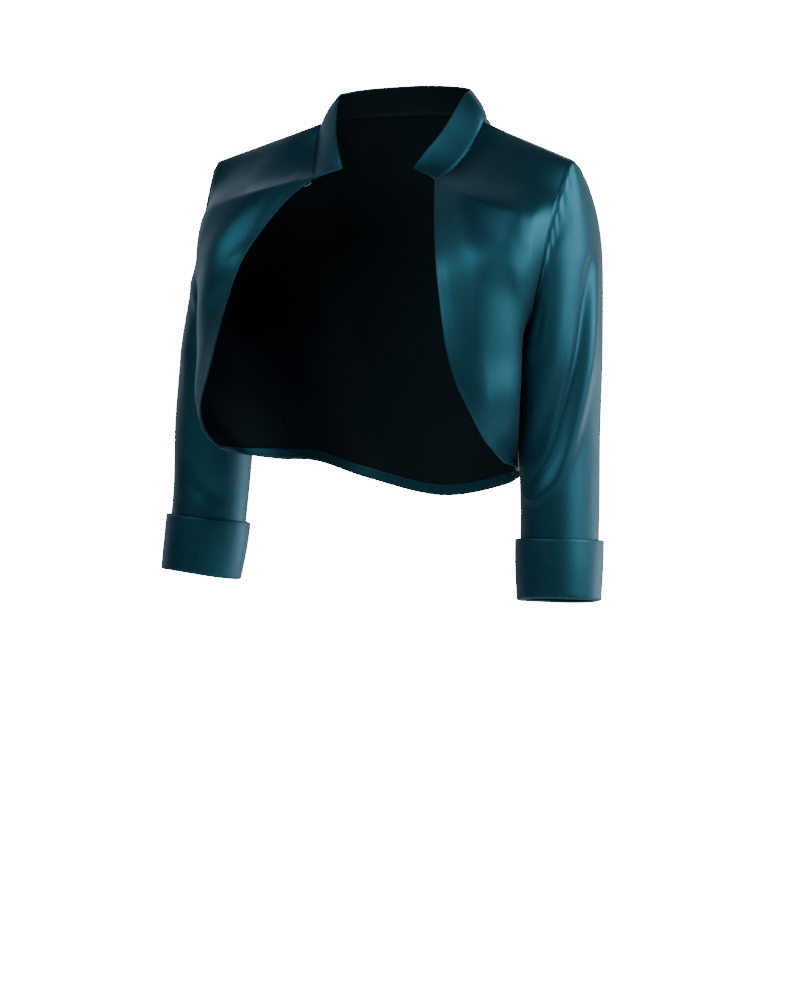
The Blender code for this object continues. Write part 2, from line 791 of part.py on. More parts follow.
def main():
    for old in list(bpy.data.objects):
        bpy.data.objects.remove(old)
    collection = bpy.data.collections.new("bolero_jacket")
    bpy.context.scene.collection.children.link(collection)
    satin = material("teal_satin", SATIN_TEAL, SATIN_ROUGHNESS, 0.0)
    thread = material("pale_thread", THREAD_GREY, THREAD_ROUGHNESS, 0.0)
    metal = material("hook_metal", METAL_GREY, METAL_ROUGHNESS, 1.0)

    mirror = np.array([-1, 1, 1])
    front = front_grid()
    front = add_folds(front, grid_normals(front, closed=False, outward=1), FRONT_FOLDS)
    back = back_grid()
    back = add_folds(back, grid_normals(back, closed=False, outward=-1), BACK_FOLDS)
    left_sleeve = sleeve_grid(LEFT_SLEEVE, LEFT_SLEEVE_FOLDS)
    right_sleeve = sleeve_grid(RIGHT_SLEEVE, RIGHT_SLEEVE_FOLDS) * mirror
    panels = [
        Panel("left_front", front, 1, seam_cells=FRONT_SEAMS),
        Panel("right_front", front * mirror, -1, seam_cells=FRONT_SEAMS),
        Panel("back", back, -1, seam_cells=BACK_SEAMS),
        Panel("collar", collar_grid(), 1, wall=COLLAR_WALL, seam_cells=COLLAR_SEAMS),
        Panel("left_sleeve", left_sleeve, 1, closed=True),
        Panel("right_sleeve", right_sleeve, -1, closed=True),
    ]
    seams = Seams()
    seams.add_armhole(1)
    seams.add_armhole(-1)
    for panel in panels:
        panel.note_seams(seams)
    for panel in panels:
        panel.settle(seams, armhole_side=-1 if panel.closed else 1)
        panel.build(collection, satin)

    left_front, right_front, back_panel = panels[:3]
    strips = {
        "left_front_facing": front_facing(left_front),
        "right_front_facing": front_facing(right_front),
        "back_hem_facing": back_facing(back_panel),
    }
    for name, strip in strips.items():
        add_object(name, *strip, collection, satin)
    cuffs = {
        "left_cuff": cuff_rings(LEFT_SLEEVE, LEFT_SLEEVE_FOLDS, 1),
        "right_cuff": cuff_rings(RIGHT_SLEEVE, RIGHT_SLEEVE_FOLDS, -1),
    }
    for name, rings in cuffs.items():
        add_object(name, *tube_from_rings(rings, closed=True), collection, satin)
    loop = wire_rings(fastening_path(right_front, LOOP_SWEEP, LOOP_REACH))
    add_object("neck_loop", *tube_from_rings(loop, closed=False), collection, thread)
    hook = wire_rings(fastening_path(left_front, HOOK_SWEEP, HOOK_REACH))
    add_object("neck_hook", *tube_from_rings(hook, closed=False), collection, metal)


main()
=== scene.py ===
import math

import bmesh
import bpy
import numpy as np

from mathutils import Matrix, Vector

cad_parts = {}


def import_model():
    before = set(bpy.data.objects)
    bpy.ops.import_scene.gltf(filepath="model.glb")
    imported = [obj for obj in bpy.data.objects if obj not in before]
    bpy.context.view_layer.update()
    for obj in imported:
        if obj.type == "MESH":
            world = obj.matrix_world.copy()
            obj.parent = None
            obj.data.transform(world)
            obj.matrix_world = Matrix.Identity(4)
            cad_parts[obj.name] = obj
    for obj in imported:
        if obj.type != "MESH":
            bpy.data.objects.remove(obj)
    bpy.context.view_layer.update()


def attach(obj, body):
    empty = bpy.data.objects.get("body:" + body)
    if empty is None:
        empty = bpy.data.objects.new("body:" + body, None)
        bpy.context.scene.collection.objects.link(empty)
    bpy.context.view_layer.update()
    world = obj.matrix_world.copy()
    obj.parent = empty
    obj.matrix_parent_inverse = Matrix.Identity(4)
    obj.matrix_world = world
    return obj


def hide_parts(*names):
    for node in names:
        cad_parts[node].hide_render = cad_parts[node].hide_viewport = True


MM = 0.001

# Cloth
CLOTH = 1.3
COLLAR_CLOTH = 2.0
SEAM_DIP = 0.75
SEAM_SPREAD = 1.5
LIP_STEPS = 5
FACING_WIDTH = 9.0
FACING_CLOTH = 0.55
FACING_CLEARANCE = 0.35
FACING_SET_BACK = 0.9

# Steps of the facings, and their turn from the front edge into the hem, in shares of the panel
FACING_ROWS = 7
FACING_EDGE_STEPS = 110
FACING_HEM_STEPS = 50
BACK_FACING_STEPS = 150
FACING_START = 0.002
FACING_CORNER_DOWN = 0.16
FACING_CORNER_ALONG = 0.3

# Cuffs
CUFF_DEPTH = 54.0
CUFF_WALL = 2.4
CUFF_FLARE = 1.6
CUFF_CLEARANCE = 0.8
CUFF_BELLY = 0.5
CUFF_WAVE = 0.5
CUFF_SEAM_TURN = 196.0
CUFF_SEAM_DIP = 0.6
CUFF_SEAM_WIDTH = 2.2
CUFF_SECOND_WAVE = 0.6
CUFF_HEM_WAVE = 0.25
CUFF_DRIFT = 1.4
CUFF_DRIFT_WAVE = 0.3
CUFF_FACE_SHARE = 0.6
CUFF_INSIDE_SHARE = 0.96
CUFF_INSIDE_GAP = 0.3
CUFF_ROUND_STEPS = 8
CUFF_SIDE_STEPS = 19

# Small sewing and the fastening at the neck; an arc is its sweep in degrees and its reach
STITCH_SPACING = 5.0
STITCH_LENGTH = 2.0
STITCH_THREAD = 0.32
STITCH_SCALES = ((0.9, -0.12, 0.75), (1.1, 0.12, 1.2))
STITCH_LEANS = ((0.35, -0.1, 0.0), (0.75, 0.1, 0.0))
STITCH_SEED = 11
LOOP_THREAD = 0.55
LOOP_ARC = (190, 3.4)
STRAND_TURNS = 3.5
STRAND_OFFSET = 0.45
HOOK_WIRE = 0.8
HOOK_ARC = (200, 3.0)
ARC_STEPS = 28
ARC_DOWN = 6.5
ARC_IN = 1.5
ARC_STAND = 1.2
CORNER_DOWN = 0.04
CORNER_IN = 0.06

# How finely the pieces are cut into rows and columns
TURNS = 180
SLEEVE_ROWS = 190
PANEL_CUT_ROWS = 120
FRONT_CUT_COLUMNS = 72
BACK_CUT_COLUMNS = 144
COLLAR_CUT_ROWS = 18
COLLAR_CUT_COLUMNS = 150
EDGE_CROWDING = 0.8
SHORT_STEP = 0.02
CHART_UNIT = 100.0

# The pattern's own counts: rows down a panel, and those along the armhole and the neckline
ARMHOLE_ROWS = 12
SIDE_ROWS = 6
PANEL_ROWS = ARMHOLE_ROWS + SIDE_ROWS
NECK_ROWS = 4
CAP_PLACE = 0.42

# Armhole seam of the jacket's left side, by its turn round the sleeve:
# 0 is the shoulder, 90 the front, 180 under the arm
ARMHOLE = [
    # turn, x, y, z
    (0, 192, -22, -36),
    (30, 190.5, -42, -66),
    (60, 187.5, -56, -102),
    (90, 183, -64, -137),
    (120, 174, -60, -170),
    (150, 160, -36, -196),
    (180, 150, -8, -206),
    (210, 155, 20, -196),
    (240, 165, 40, -166),
    (270, 175, 46, -128),
    (300, 184, 34, -88),
    (330, 190, 8, -54),
]

# Side seam from the underarm to the hem
SIDE_SEAM = [
    # place, x, y, z
    (0.0, 150, -8, -206),
    (0.17, 140, -8, -226),
    (0.5, 134, -7, -262),
    (1.0, 131, -6, -326),
]

# Neckline seam and the collar's top edge, from the middle of the back to the front end
COLLAR = [
    # place, seam x, y, z, top x, y, z
    (0.0, 0, 50, 7, 0, 45, 35),
    (0.14, 38, 46, 6.5, 31, 40, 34),
    (0.28, 66, 35, 5, 55, 29, 32),
    (0.41, 83, 18, 3, 68, 14, 29),
    (0.52, 89, 0, 0, 70, -3, 24),
    (0.68, 84, -17, -24, 60, -25, -7),
    (0.84, 75, -37, -44, 47, -40, -30),
    (1.0, 66, -53, -52, 39, -46, -43),
]
SHOULDER_NECK_PLACE = 0.52
COLLAR_BOW = 2.2
COLLAR_OUTWARD = (1.0, 0.8, 0.0)
COLLAR_HALF = 190.0
COLLAR_MARGIN = 8.0
COLLAR_UNEVENNESS = 0.5

# Front edge from the collar's end down to where it has turned into the hem
FRONT_EDGE = [
    # place, x, y, z
    (0.0, 66, -53, -52),
    (0.09, 79, -77, -71),
    (0.19, 92, -100, -98),
    (0.30, 105, -120, -130),
    (0.42, 115, -130, -167),
    (0.53, 124, -135.5, -203),
    (0.64, 134, -135, -235),
    (0.75, 147, -129, -265),
    (0.84, 153.5, -116, -288),
    (0.92, 156, -98, -302),
    (1.0, 156, -80, -312),
]

# Front panel, level by level from the shoulder to the hem:
# the tuck beside the arm, the corner before the arm, and the fullness of the breast
FRONT_SECTIONS = [
    # place, tuck x, tuck y, corner x, corner y, breast x, breast y
    (0.0, 169.3, -17.2, 145.6, -12, 117.8, -6),
    (0.11, 172, -46, 150, -48, 119, -45),
    (0.22, 178, -75, 156, -85, 113, -82),
    (0.37, 180, -82, 167, -99, 135, -113),
    (0.50, 174, -69, 173, -90, 148, -120),
    (0.667, 148, -45, 172, -82, 156, -119),
    (0.833, 141, -46, 169, -80, 161, -112),
    (1.0, 139, -26, 149, -44, 155, -62),
]
FRONT_KNOTS = (0.0, 0.22, 0.45, 0.72, 1.0)

# Back panel, level by level: the rounding behind the arm, the shoulder blade, the middle,
# and how much of the drop to the middle is reached at the first two
BACK_SECTIONS = [
    # place, wide x, wide y, blade x, blade y, middle y, middle z, wide share, blade share
    (0.0, 140.5, -11, 89, 0, 50, 7, 0.42, 0.84),
    (0.22, 152, 58, 92, 72, 78, -54, 0.45, 0.8),
    (0.44, 149, 68, 96, 84, 87, -131, 0.45, 0.8),
    (0.667, 141, 48, 97, 80, 84, -206, 0.45, 0.8),
    (0.833, 127, 40, 86, 74, 80, -283, 0.25, 0.7),
    (1.0, 115, 34, 76, 65, 77, -362, 0.12, 0.6),
]
BACK_KNOTS = (0.0, 1 / 3, 2 / 3, 1.0)
SHOULDER_SHARE = 2 / 3
NECK_BLEND = 0.24

# Middle line and half widths of each sleeve below the cap: out from the side, fore and aft
LEFT_SLEEVE = [
    # place, x, y, z, half out, half fore
    (0.0, 179.5, -20, -226, 37.5, 49),
    (0.30, 180, -21, -291, 36, 46),
    (0.60, 184.5, -27, -355, 35, 43),
    (0.82, 187, -33, -401, 35, 41.5),
    (1.0, 190, -39, -439, 35, 40.5),
]
RIGHT_SLEEVE = [
    (0.0, 192.5, -18, -226, 37.5, 49),
    (0.30, 201, -19, -291, 36, 46),
    (0.60, 203.5, -22, -355, 35, 43),
    (0.82, 206, -27, -401, 35, 41.5),
    (1.0, 209, -33, -439, 35, 40.5),
]

# How a sleeve's cap leaves the armhole: it is fuller behind the arm than before it
CAP_OUT_BEHIND = 0.5
CAP_OUT_TOP = 0.2
CAP_AFT_BEFORE = 0.22
CAP_AFT_BEHIND = 0.4
CAP_SINK = 0.62
CAP_RISE_BEFORE = 35.0
CAP_RISE_BEHIND = 98.0
CAP_DROP = 140.0
CAP_SPREAD = 26.0

# Creases and soft folds, each a smooth line through its places, with its width and height.
# A positive height stands out of the cloth, a negative one sinks into it.
# On the panels a place is x outwards and z; on the sleeves it is a turn and z.
LEFT_FRONT_FOLDS = [
    # places, width, height
    ((116, -76), (140, -92), (166, -100), 20, -2.6),
    ((168, -78), (176, -108), (176, -146), 11, -1.5),
    ((150, -66), (168, -82), (178, -112), 5, 0.7),
    ((118, -210), (142, -235), (160, -262), 26, 1.0),
]
RIGHT_FRONT_FOLDS = [
    ((84, -47), (86, -66), (93, -86), (99, -104), 5, 1.0),
    ((103, -116), (118, -132), (136, -148), 6, 1.2),
    ((112, -134), (130, -152), (150, -162), 10, -0.9),
    ((176, -140), (164, -154), (150, -168), 7, 0.8),
    ((150, -190), (164, -235), (172, -285), 11, -1.2),
]
BACK_FOLDS = [
    ((150, -120), (128, -168), (96, -210), 18, 2.4),
    ((128, -255), (88, -286), (40, -300), 16, -2.4),
    ((-150, -135), (-124, -186), (-84, -232), 17, 2.2),
    ((-124, -290), (-80, -312), (-30, -322), 15, 2.2),
    ((-20, -90), (0, -140), (30, -190), 20, -1.6),
    ((162, -150), (146, -176), (138, -206), 9, -1.4),
    ((-164, -140), (-148, -170), (-136, -210), 9, -1.4),
    ((70, -200), (50, -250), (64, -310), 22, 1.4),
]
LEFT_SLEEVE_FOLDS = [
    # places, width, height
    ((-2, -130), (14, -173), (30, -222), (50, -270), (72, -308), (110, -332), 6, -5.0),
    ((12, -146), (30, -182), (48, -226), (68, -268), (94, -302), (122, -320), 13, -3.4),
    ((-14, -132), (0, -184), (16, -236), (37, -288), (62, -326), (98, -347), 6.5, 3.0),
    ((92, -344), (112, -345), (128, -339), 3.2, 1.0),
    ((31, -92), (56, -108), (78, -122), 7, -1.2),
    ((82, -172), (88, -192), (94, -214), 6, -2.0),
    ((250, -205), (236, -265), (215, -330), 15, 2.2),
    ((290, -360), (250, -384), (215, -400), 12, -2.4),
]
RIGHT_SLEEVE_FOLDS = [
    ((50, -166), (62, -176), (78, -184), 5, -1.4),
    ((25, -150), (50, -158), (75, -172), 8, 1.4),
    ((60, -195), (84, -245), (110, -300), 15, 1.8),
    ((75, -320), (108, -350), (140, -372), 13, -2.4),
    ((52, -362), (62, -370), (76, -378), 3.5, 1.1),
    ((285, -190), (262, -260), (235, -330), 15, 2.2),
    ((290, -350), (252, -376), (215, -398), 12, -2.4),
]

# A sleeve's turns in millimetres, and how folds taper and fade towards edges, seams and ends
TURN_TO_MM = 0.72
FOLD_POINTS = 25
FOLD_END_SHARE = 0.35
FOLD_TAPER = 0.8
FOLD_MARGIN = 16.0
EDGE_FOLD_SHARE = 0.35
FOLDS_START = 0.12
FOLDS_END = 0.77
FOLDS_FADE = 0.08
FRONT_LENGTH = 300.0

# Slow unevenness of the cloth, edges and seams, and the puckers at a sleeve's head
UNEVENNESS = 0.15
DRIFT_WAVES = 7
DRIFT_LENGTHS = (38, 105)
SLEEVE_DRIFT = 60.0
EDGE_RISE = 0.25
EDGE_FLAT = 6.0
EDGE_LIP = 0.7
SEAM_LIP = 1.05
ARMHOLE_LIP = 2.2
SEAM_RIDGE = 0.3
RIDGE_PLACE = 4.5
RIDGE_WIDTH = 3.2
SEAM_ALLOWANCE = 4.0
UNDER_FADE = 0.25
BEHIND_FADE = 0.3
CAP_PUCKERS = 31
PUCKER_SHIFTS = ((2.1, 3), (1.3, 7))
PUCKER_ROUND = 0.35
PUCKER_HEIGHT = 0.28
PUCKER_PLACE = 6.0
PUCKER_REACH = 9.0

# Finishes of the cloths: two colours, gloss from low to high, scale of the threads,
# and the values of the shader's own sockets
THREAD_SHARE = 0.22
DRIFT_SHARE = 0.7
DRIFT_START = 0.04
DRIFT_RANGE = (0.3, 0.7)
WEAVE_STRENGTH = 0.35
WEAVE_DEPTH = 0.02
WEAVE = {"Float Length": 0.12, "Drift Scale": 1.4}
SATIN_LOOK = {
    "Metallic": 0.85,
    "Specular IOR Level": 0.5,
    "Sheen Weight": 0.10,
    "Sheen Roughness": 0.4,
    "Sheen Tint": (0.75, 0.82, 1.0, 1),
    "Anisotropic": 0.35,
}
SATIN = (((0.016, 0.088, 0.128), (0.023, 0.114, 0.165)), (0.42, 0.50), 260.0, SATIN_LOOK)
# The lining's near-black colours are partly its own dark tone and partly painted shade for the inside,
# which the wearer's body and neck would shade
LINING_AND_PAINTED_SHADE_LOOK = {"Metallic": 0.0, "Specular IOR Level": 0.12, "Anisotropic": 0.2}
LINING_AND_PAINTED_SHADE = (((0.003, 0.010, 0.014), (0.005, 0.016, 0.022)), (0.55, 0.68), 340.0, LINING_AND_PAINTED_SHADE_LOOK)

# Finishes of the small things
FITTINGS = {
    # name: colour, roughness, metallic, scale of the grain
    "pale_thread": ((0.30, 0.45, 0.48), 0.7, 0.0, 2600.0),
    "teal_thread": ((0.03, 0.15, 0.19), 0.6, 0.0, 2600.0),
    "dull_hook_metal": ((0.56, 0.55, 0.52), 0.32, 1.0, 900.0),
}
GRAIN_DARK = 0.7
GRAIN_STRENGTH = 0.3
GRAIN_DEPTH = 0.05

# Studio, in metres
FLOOR_LEVEL = -1.3
FLOOR_SIZE = 40.0
FLOOR_TONE = (0.86, 0.86, 0.86, 1)
FLOOR_ROUGHNESS = 0.9
AIM_HEIGHT = -0.25
BACKGROUND_SEEN = 24.0
ROOM_TONE = (0.94, 0.97, 1.0)
ROOM_LIGHT = 0.05
BACKDROP_LIGHT = 0.8
BACKDROP_WAY = (-0.5, 0.866, 0.0)
BACKDROP_FADE = (0.25, 0.95)
LIGHTS = [
    # name, turn from the front towards the jacket's left, height angle, distance, size, power
    ("side_softbox", 102.0, 20.0, 3.0, (2.1, 1.7), 68.0),
    ("low_softbox", 152.0, -16.0, 3.0, (1.8, 1.5), 28.0),
    ("front_fill", -4.0, 36.0, 3.2, (3.0, 0.8), 36.0),
    ("left_rim", -100.0, 6.0, 3.0, (0.8, 1.8), 2.0),
    ("high_back", -152.0, 32.0, 3.0, (1.4, 0.7), 4.5),
]
CAMERA_LENS = 120.6
CAMERA_SENSOR = 36
CAMERA_AZIMUTH = 30.0
CAMERA_DISTANCE = 3.2
CAMERA_HEIGHT = -0.0432
CAMERA_AIM_HEIGHT = -0.3605
CAMERA_SHIFT = -0.0019


# Smooth curves through tables

def curve_between(part, start, end, start_pull, end_pull):
    """Points on the smooth curves that leave the start and reach the end along the pulls."""
    weight = 2 * part**3 - 3 * part**2 + 1
    curve = weight * start + (1 - weight) * end
    curve = curve + (part**3 - 2 * part**2 + part) * start_pull
    return curve + (part**3 - part**2) * end_pull


def smooth_through(places, values, at):
    """Values at several places on the smooth curve through those given at rising places.

    The values are one row for each place, or one row for each place and each of the points."""
    places = np.asarray(places, dtype=float)
    values = np.asarray(values, dtype=float)
    at = np.asarray(at, dtype=float)
    last = len(places) - 1
    steps = np.arange(last + 1)
    before = np.maximum(steps - 1, 0)
    after = np.minimum(steps + 1, last)
    wide = (places[after] - places[before]).reshape((-1,) + (1,) * (values.ndim - 1))
    slopes = (values[after] - values[before]) / wide
    low = np.clip(np.searchsorted(places, at, side="right") - 1, 0, last - 1)

    def pick(table, index):
        return table[index] if table.ndim == 2 else table[index, np.arange(len(at))]

    span = (places[low + 1] - places[low])[:, None]
    part = (at - places[low])[:, None] / span
    start, end = pick(values, low), pick(values, low + 1)
    return curve_between(part, start, end, span * pick(slopes, low), span * pick(slopes, low + 1))


def table_at(table, at):
    return smooth_through([row[0] for row in table], [row[1:] for row in table], at)


def unit(vectors):
    lengths = np.linalg.norm(vectors, axis=-1, keepdims=True)
    return vectors / np.maximum(lengths, 1e-9)


def ease(part):
    """A smooth step from 0 to 1."""
    part = np.clip(part, 0.0, 1.0)
    return part * part * (3 - 2 * part)


def crowded(count):
    """Places from 0 to 1 that lie closer together near both ends."""
    steps = np.linspace(0.0, 1.0, count + 1)
    return steps - EDGE_CROWDING * np.sin(2 * math.pi * steps) / (2 * math.pi)


# Seam and edge lines of the left half, for arrays of places

def armhole(turn):
    before = [(row[0] - 360,) + row[1:] for row in ARMHOLE[-2:]]
    after = [(row[0] + 360,) + row[1:] for row in ARMHOLE[:2]]
    return table_at(before + ARMHOLE + after, np.asarray(turn) % 360)


def outer_line(place, behind):
    """The panel's outer border: half of the armhole, then the side seam."""
    row = place * PANEL_ROWS
    turn = 180 * np.minimum(row, ARMHOLE_ROWS) / ARMHOLE_ROWS
    hole = armhole(360 - turn if behind else turn)
    seam = table_at(SIDE_SEAM, np.clip((row - ARMHOLE_ROWS) / SIDE_ROWS, 0, 1))
    return np.where((row <= ARMHOLE_ROWS)[:, None], hole, seam)


def collar_lines(place):
    """Neck seam and collar top, mirrored past the middle of the back so they run on smoothly."""
    mirrored = [(-row[0], -row[1], *row[2:4], -row[4], *row[5:]) for row in reversed(COLLAR[1:3])]
    return table_at(mirrored + COLLAR, place)


def neckline(place):
    return collar_lines(place)[:, :3]


def collar_top(place):
    return collar_lines(place)[:, 3:]


def front_line(place):
    """The front's inner border: the neckline from the shoulder, then the free edge."""
    row = place * PANEL_ROWS
    part = np.minimum(row / NECK_ROWS, 1)
    neck = neckline(SHOULDER_NECK_PLACE + part * (1 - SHOULDER_NECK_PLACE))
    edge = table_at(FRONT_EDGE, np.clip((row - NECK_ROWS) / (PANEL_ROWS - NECK_ROWS), 0, 1))
    return np.where((row <= NECK_ROWS)[:, None], neck, edge)


# Surfaces of the left half in millimetres, for arrays of places

def front_base(place, across):
    outer = outer_line(place, behind=False)
    inner = front_line(place)
    section = table_at(FRONT_SECTIONS, place)
    knots = [outer]
    for index, knot in enumerate(FRONT_KNOTS[1:-1]):
        level = outer[:, 2] + knot * (inner[:, 2] - outer[:, 2])
        knots.append(np.column_stack([section[:, 2 * index: 2 * index + 2], level]))
    knots.append(inner)
    return smooth_through(FRONT_KNOTS, np.array(knots), across)


def front_surface(place, across):
    """Points of the front: 0 across is the armhole or side seam, 1 is the free edge."""
    fade = (1 - ease(place / NECK_BLEND))[:, None]
    top = front_base(np.zeros_like(place), across)
    shoulder = armhole([0.0]) * (1 - across)[:, None]
    shoulder = shoulder + neckline([SHOULDER_NECK_PLACE]) * across[:, None]
    return front_base(place, across) + fade * (shoulder - top)


def back_base(place, near):
    outer = outer_line(place, behind=True)
    wide_x, wide_y, blade_x, blade_y, middle_y, middle_z, wide, blade = (
        table_at(BACK_SECTIONS, place).T
    )
    rise = middle_z - outer[:, 2]
    half = [
        outer,
        np.column_stack([wide_x, wide_y, outer[:, 2] + rise * wide]),
        np.column_stack([blade_x, blade_y, outer[:, 2] + rise * blade]),
        np.column_stack([np.zeros_like(place), middle_y, middle_z]),
    ]
    mirrored = [points * np.array([-1, 1, 1]) for points in reversed(half[:-1])]
    knots = list(BACK_KNOTS) + [2 - knot for knot in reversed(BACK_KNOTS[:-1])]
    return smooth_through(knots, np.array(half + mirrored), near)


def back_surface(place, across):
    """Points of the back: 0 across is the left side, 1 the middle, 2 the right side."""
    near = np.where(across <= 1, across, 2 - across)
    side = np.where(across <= 1, 1, -1)
    part = np.minimum(near / SHOULDER_SHARE, 1)[:, None]
    shoulder = (1 - part) * armhole([0.0]) + part * neckline([SHOULDER_NECK_PLACE])
    round_neck = np.clip((near - SHOULDER_SHARE) / (1 - SHOULDER_SHARE), 0, 1)
    neck = neckline(SHOULDER_NECK_PLACE * (1 - round_neck))
    border = np.where((near <= SHOULDER_SHARE)[:, None], shoulder, neck)
    fade = (1 - ease(place / NECK_BLEND))[:, None]
    points = back_base(place, near) + fade * (border - back_base(np.zeros_like(place), near))
    points[:, 0] *= side
    return points


def sleeve_frame(table, place):
    """Middle, half widths and directions of sleeve rings."""
    rings = table_at(table, place)
    below = table_at(table, np.minimum(place + SHORT_STEP, 1.0))[:, :3]
    above = table_at(table, np.maximum(place - SHORT_STEP, 0.0))[:, :3]
    down = unit(below - above)
    out = unit(np.array([1.0, 0.0, 0.0]) - down[:, :1] * down)
    fore = np.cross(out, down)
    fore = unit(np.where(fore[:, 1:2] < 0, fore, -fore))
    return rings[:, :3], rings[:, 3:4], rings[:, 4:5], out, fore, down


def sleeve_ring(table, place, turn):
    middle, half_out, half_fore, out, fore, _ = sleeve_frame(table, place)
    angle = np.radians(turn)[:, None]
    return middle + out * half_out * np.cos(angle) + fore * half_fore * np.sin(angle)


def cap_surface(table, part, turn):
    """The cap: each line leaves the armhole outwards and runs down into the sleeve."""
    angle = np.radians(turn)
    top = (1 + np.cos(angle)) / 2
    behind = (1 - np.sin(angle)) / 2
    aft = CAP_AFT_BEFORE * np.maximum(np.sin(angle), 0)
    aft = aft + CAP_AFT_BEHIND * np.maximum(-np.sin(angle), 0)
    sink = np.full_like(angle, -CAP_SINK)
    spread = np.column_stack([CAP_OUT_BEHIND * behind + CAP_OUT_TOP * top, aft, sink])
    rise = CAP_RISE_BEFORE + (CAP_RISE_BEHIND - CAP_RISE_BEFORE) * behind
    start_pull = unit(spread) * (CAP_SPREAD + (rise - CAP_SPREAD) * top)[:, None]
    down = sleeve_frame(table, np.zeros_like(part))[5]
    end_pull = down * (CAP_SPREAD + (CAP_DROP - CAP_SPREAD) * top)[:, None]
    start = armhole(turn)
    end = sleeve_ring(table, np.zeros_like(part), turn)
    return curve_between(part[:, None], start, end, start_pull, end_pull)


def sleeve_surface(table, place, turn):
    """Points of a sleeve: place 0 is the armhole, 1 the end; the cap fills the first part."""
    cap = cap_surface(table, np.minimum(place / CAP_PLACE, 1.0), turn)
    tube = sleeve_ring(table, np.maximum(place - CAP_PLACE, 0) / (1 - CAP_PLACE), turn)
    return np.where((place < CAP_PLACE)[:, None], cap, tube)


# Folds, seams and walls on grids of points

def fold_heights(folds, first, second):
    """Height of all folds at grid points, from each fold's line, width and taper."""
    height = np.zeros_like(first)
    spots = np.stack([first, second], axis=-1)
    for *line, width, rise in folds:
        path = smooth_through(np.linspace(0, 1, len(line)), line, np.linspace(0, 1, FOLD_POINTS))
        nearest = np.full(first.shape, np.inf)
        along = np.zeros_like(first)
        for index in range(len(path) - 1):
            step = path[index + 1] - path[index]
            part = np.clip(((spots - path[index]) @ step) / float(step @ step), 0, 1)
            away = np.linalg.norm(spots - path[index] - part[..., None] * step, axis=-1)
            along = np.where(away < nearest, (index + part) / (len(path) - 1), along)
            nearest = np.minimum(away, nearest)
        taper = np.sin(math.pi * np.clip(along, 0, 1)) ** FOLD_TAPER
        taper = FOLD_END_SHARE + (1 - FOLD_END_SHARE) * taper
        height += rise * taper * np.exp(-((nearest / width) ** 2))
    return height


def drift(first, second, seed):
    """Slow unevenness of worn cloth, about one unit high, from a few crossing waves."""
    waves = np.random.default_rng(seed)
    total = np.zeros_like(first)
    for _ in range(DRIFT_WAVES):
        direction = waves.uniform(0, 2 * math.pi)
        length = waves.uniform(*DRIFT_LENGTHS)
        phase = waves.uniform(0, 2 * math.pi)
        way = first * math.cos(direction) + second * math.sin(direction)
        total += np.sin(2 * math.pi * way / length + phase)
    return total / DRIFT_WAVES


def grid_normals(grid, closed, middle):
    """Unit normals of a grid of points, turned away from a middle point or line."""
    if closed:
        along = np.roll(grid, -1, axis=1) - np.roll(grid, 1, axis=1)
    else:
        along = np.gradient(grid, axis=1)
    normals = unit(np.cross(along, np.gradient(grid, axis=0)))
    outward = float(((grid - middle) * normals).sum())
    return normals * math.copysign(1, outward)


def raised(grid, height, closed, middle):
    """The grid moved out by its heights, and its normals there."""
    outer = grid + grid_normals(grid, closed, middle) * height[..., None]
    return outer, grid_normals(outer, closed, middle)


def run_lengths(grid, axis):
    """Length along the grid's lines from their first point, in millimetres."""
    steps = np.diff(grid, axis=axis, prepend=np.take(grid, [0], axis=axis))
    return np.cumsum(np.linalg.norm(steps, axis=2), axis=axis)


def border_reach(grid):
    """Distances of each point from the top, bottom, first and last borders."""
    down, along = run_lengths(grid, 0), run_lengths(grid, 1)
    return down, down[-1] - down, along, along[:, -1:] - along


def perimeter(rows, columns):
    """Border cells of an open grid, once round."""
    top = [(0, column) for column in range(columns - 1)]
    last = [(row, columns - 1) for row in range(rows - 1)]
    bottom = [(rows - 1, column) for column in range(columns - 1, 0, -1)]
    first = [(row, 0) for row in range(rows - 1, 0, -1)]
    return top + last + bottom + first


def grid_faces(grid, number):
    """The faces of a grid by their points' numbers, and its chart in millimetres."""
    chart = np.stack([run_lengths(grid, 1), run_lengths(grid, 0)], axis=-1)
    faces, uvs = [], []
    for row in range(len(grid) - 1):
        for column in range(grid.shape[1] - 1):
            cells = [(row, column), (row, column + 1), (row + 1, column + 1), (row + 1, column)]
            faces.append([number(*cell) for cell in cells])
            uvs.append([chart[cell] for cell in cells])
    return faces, uvs, chart


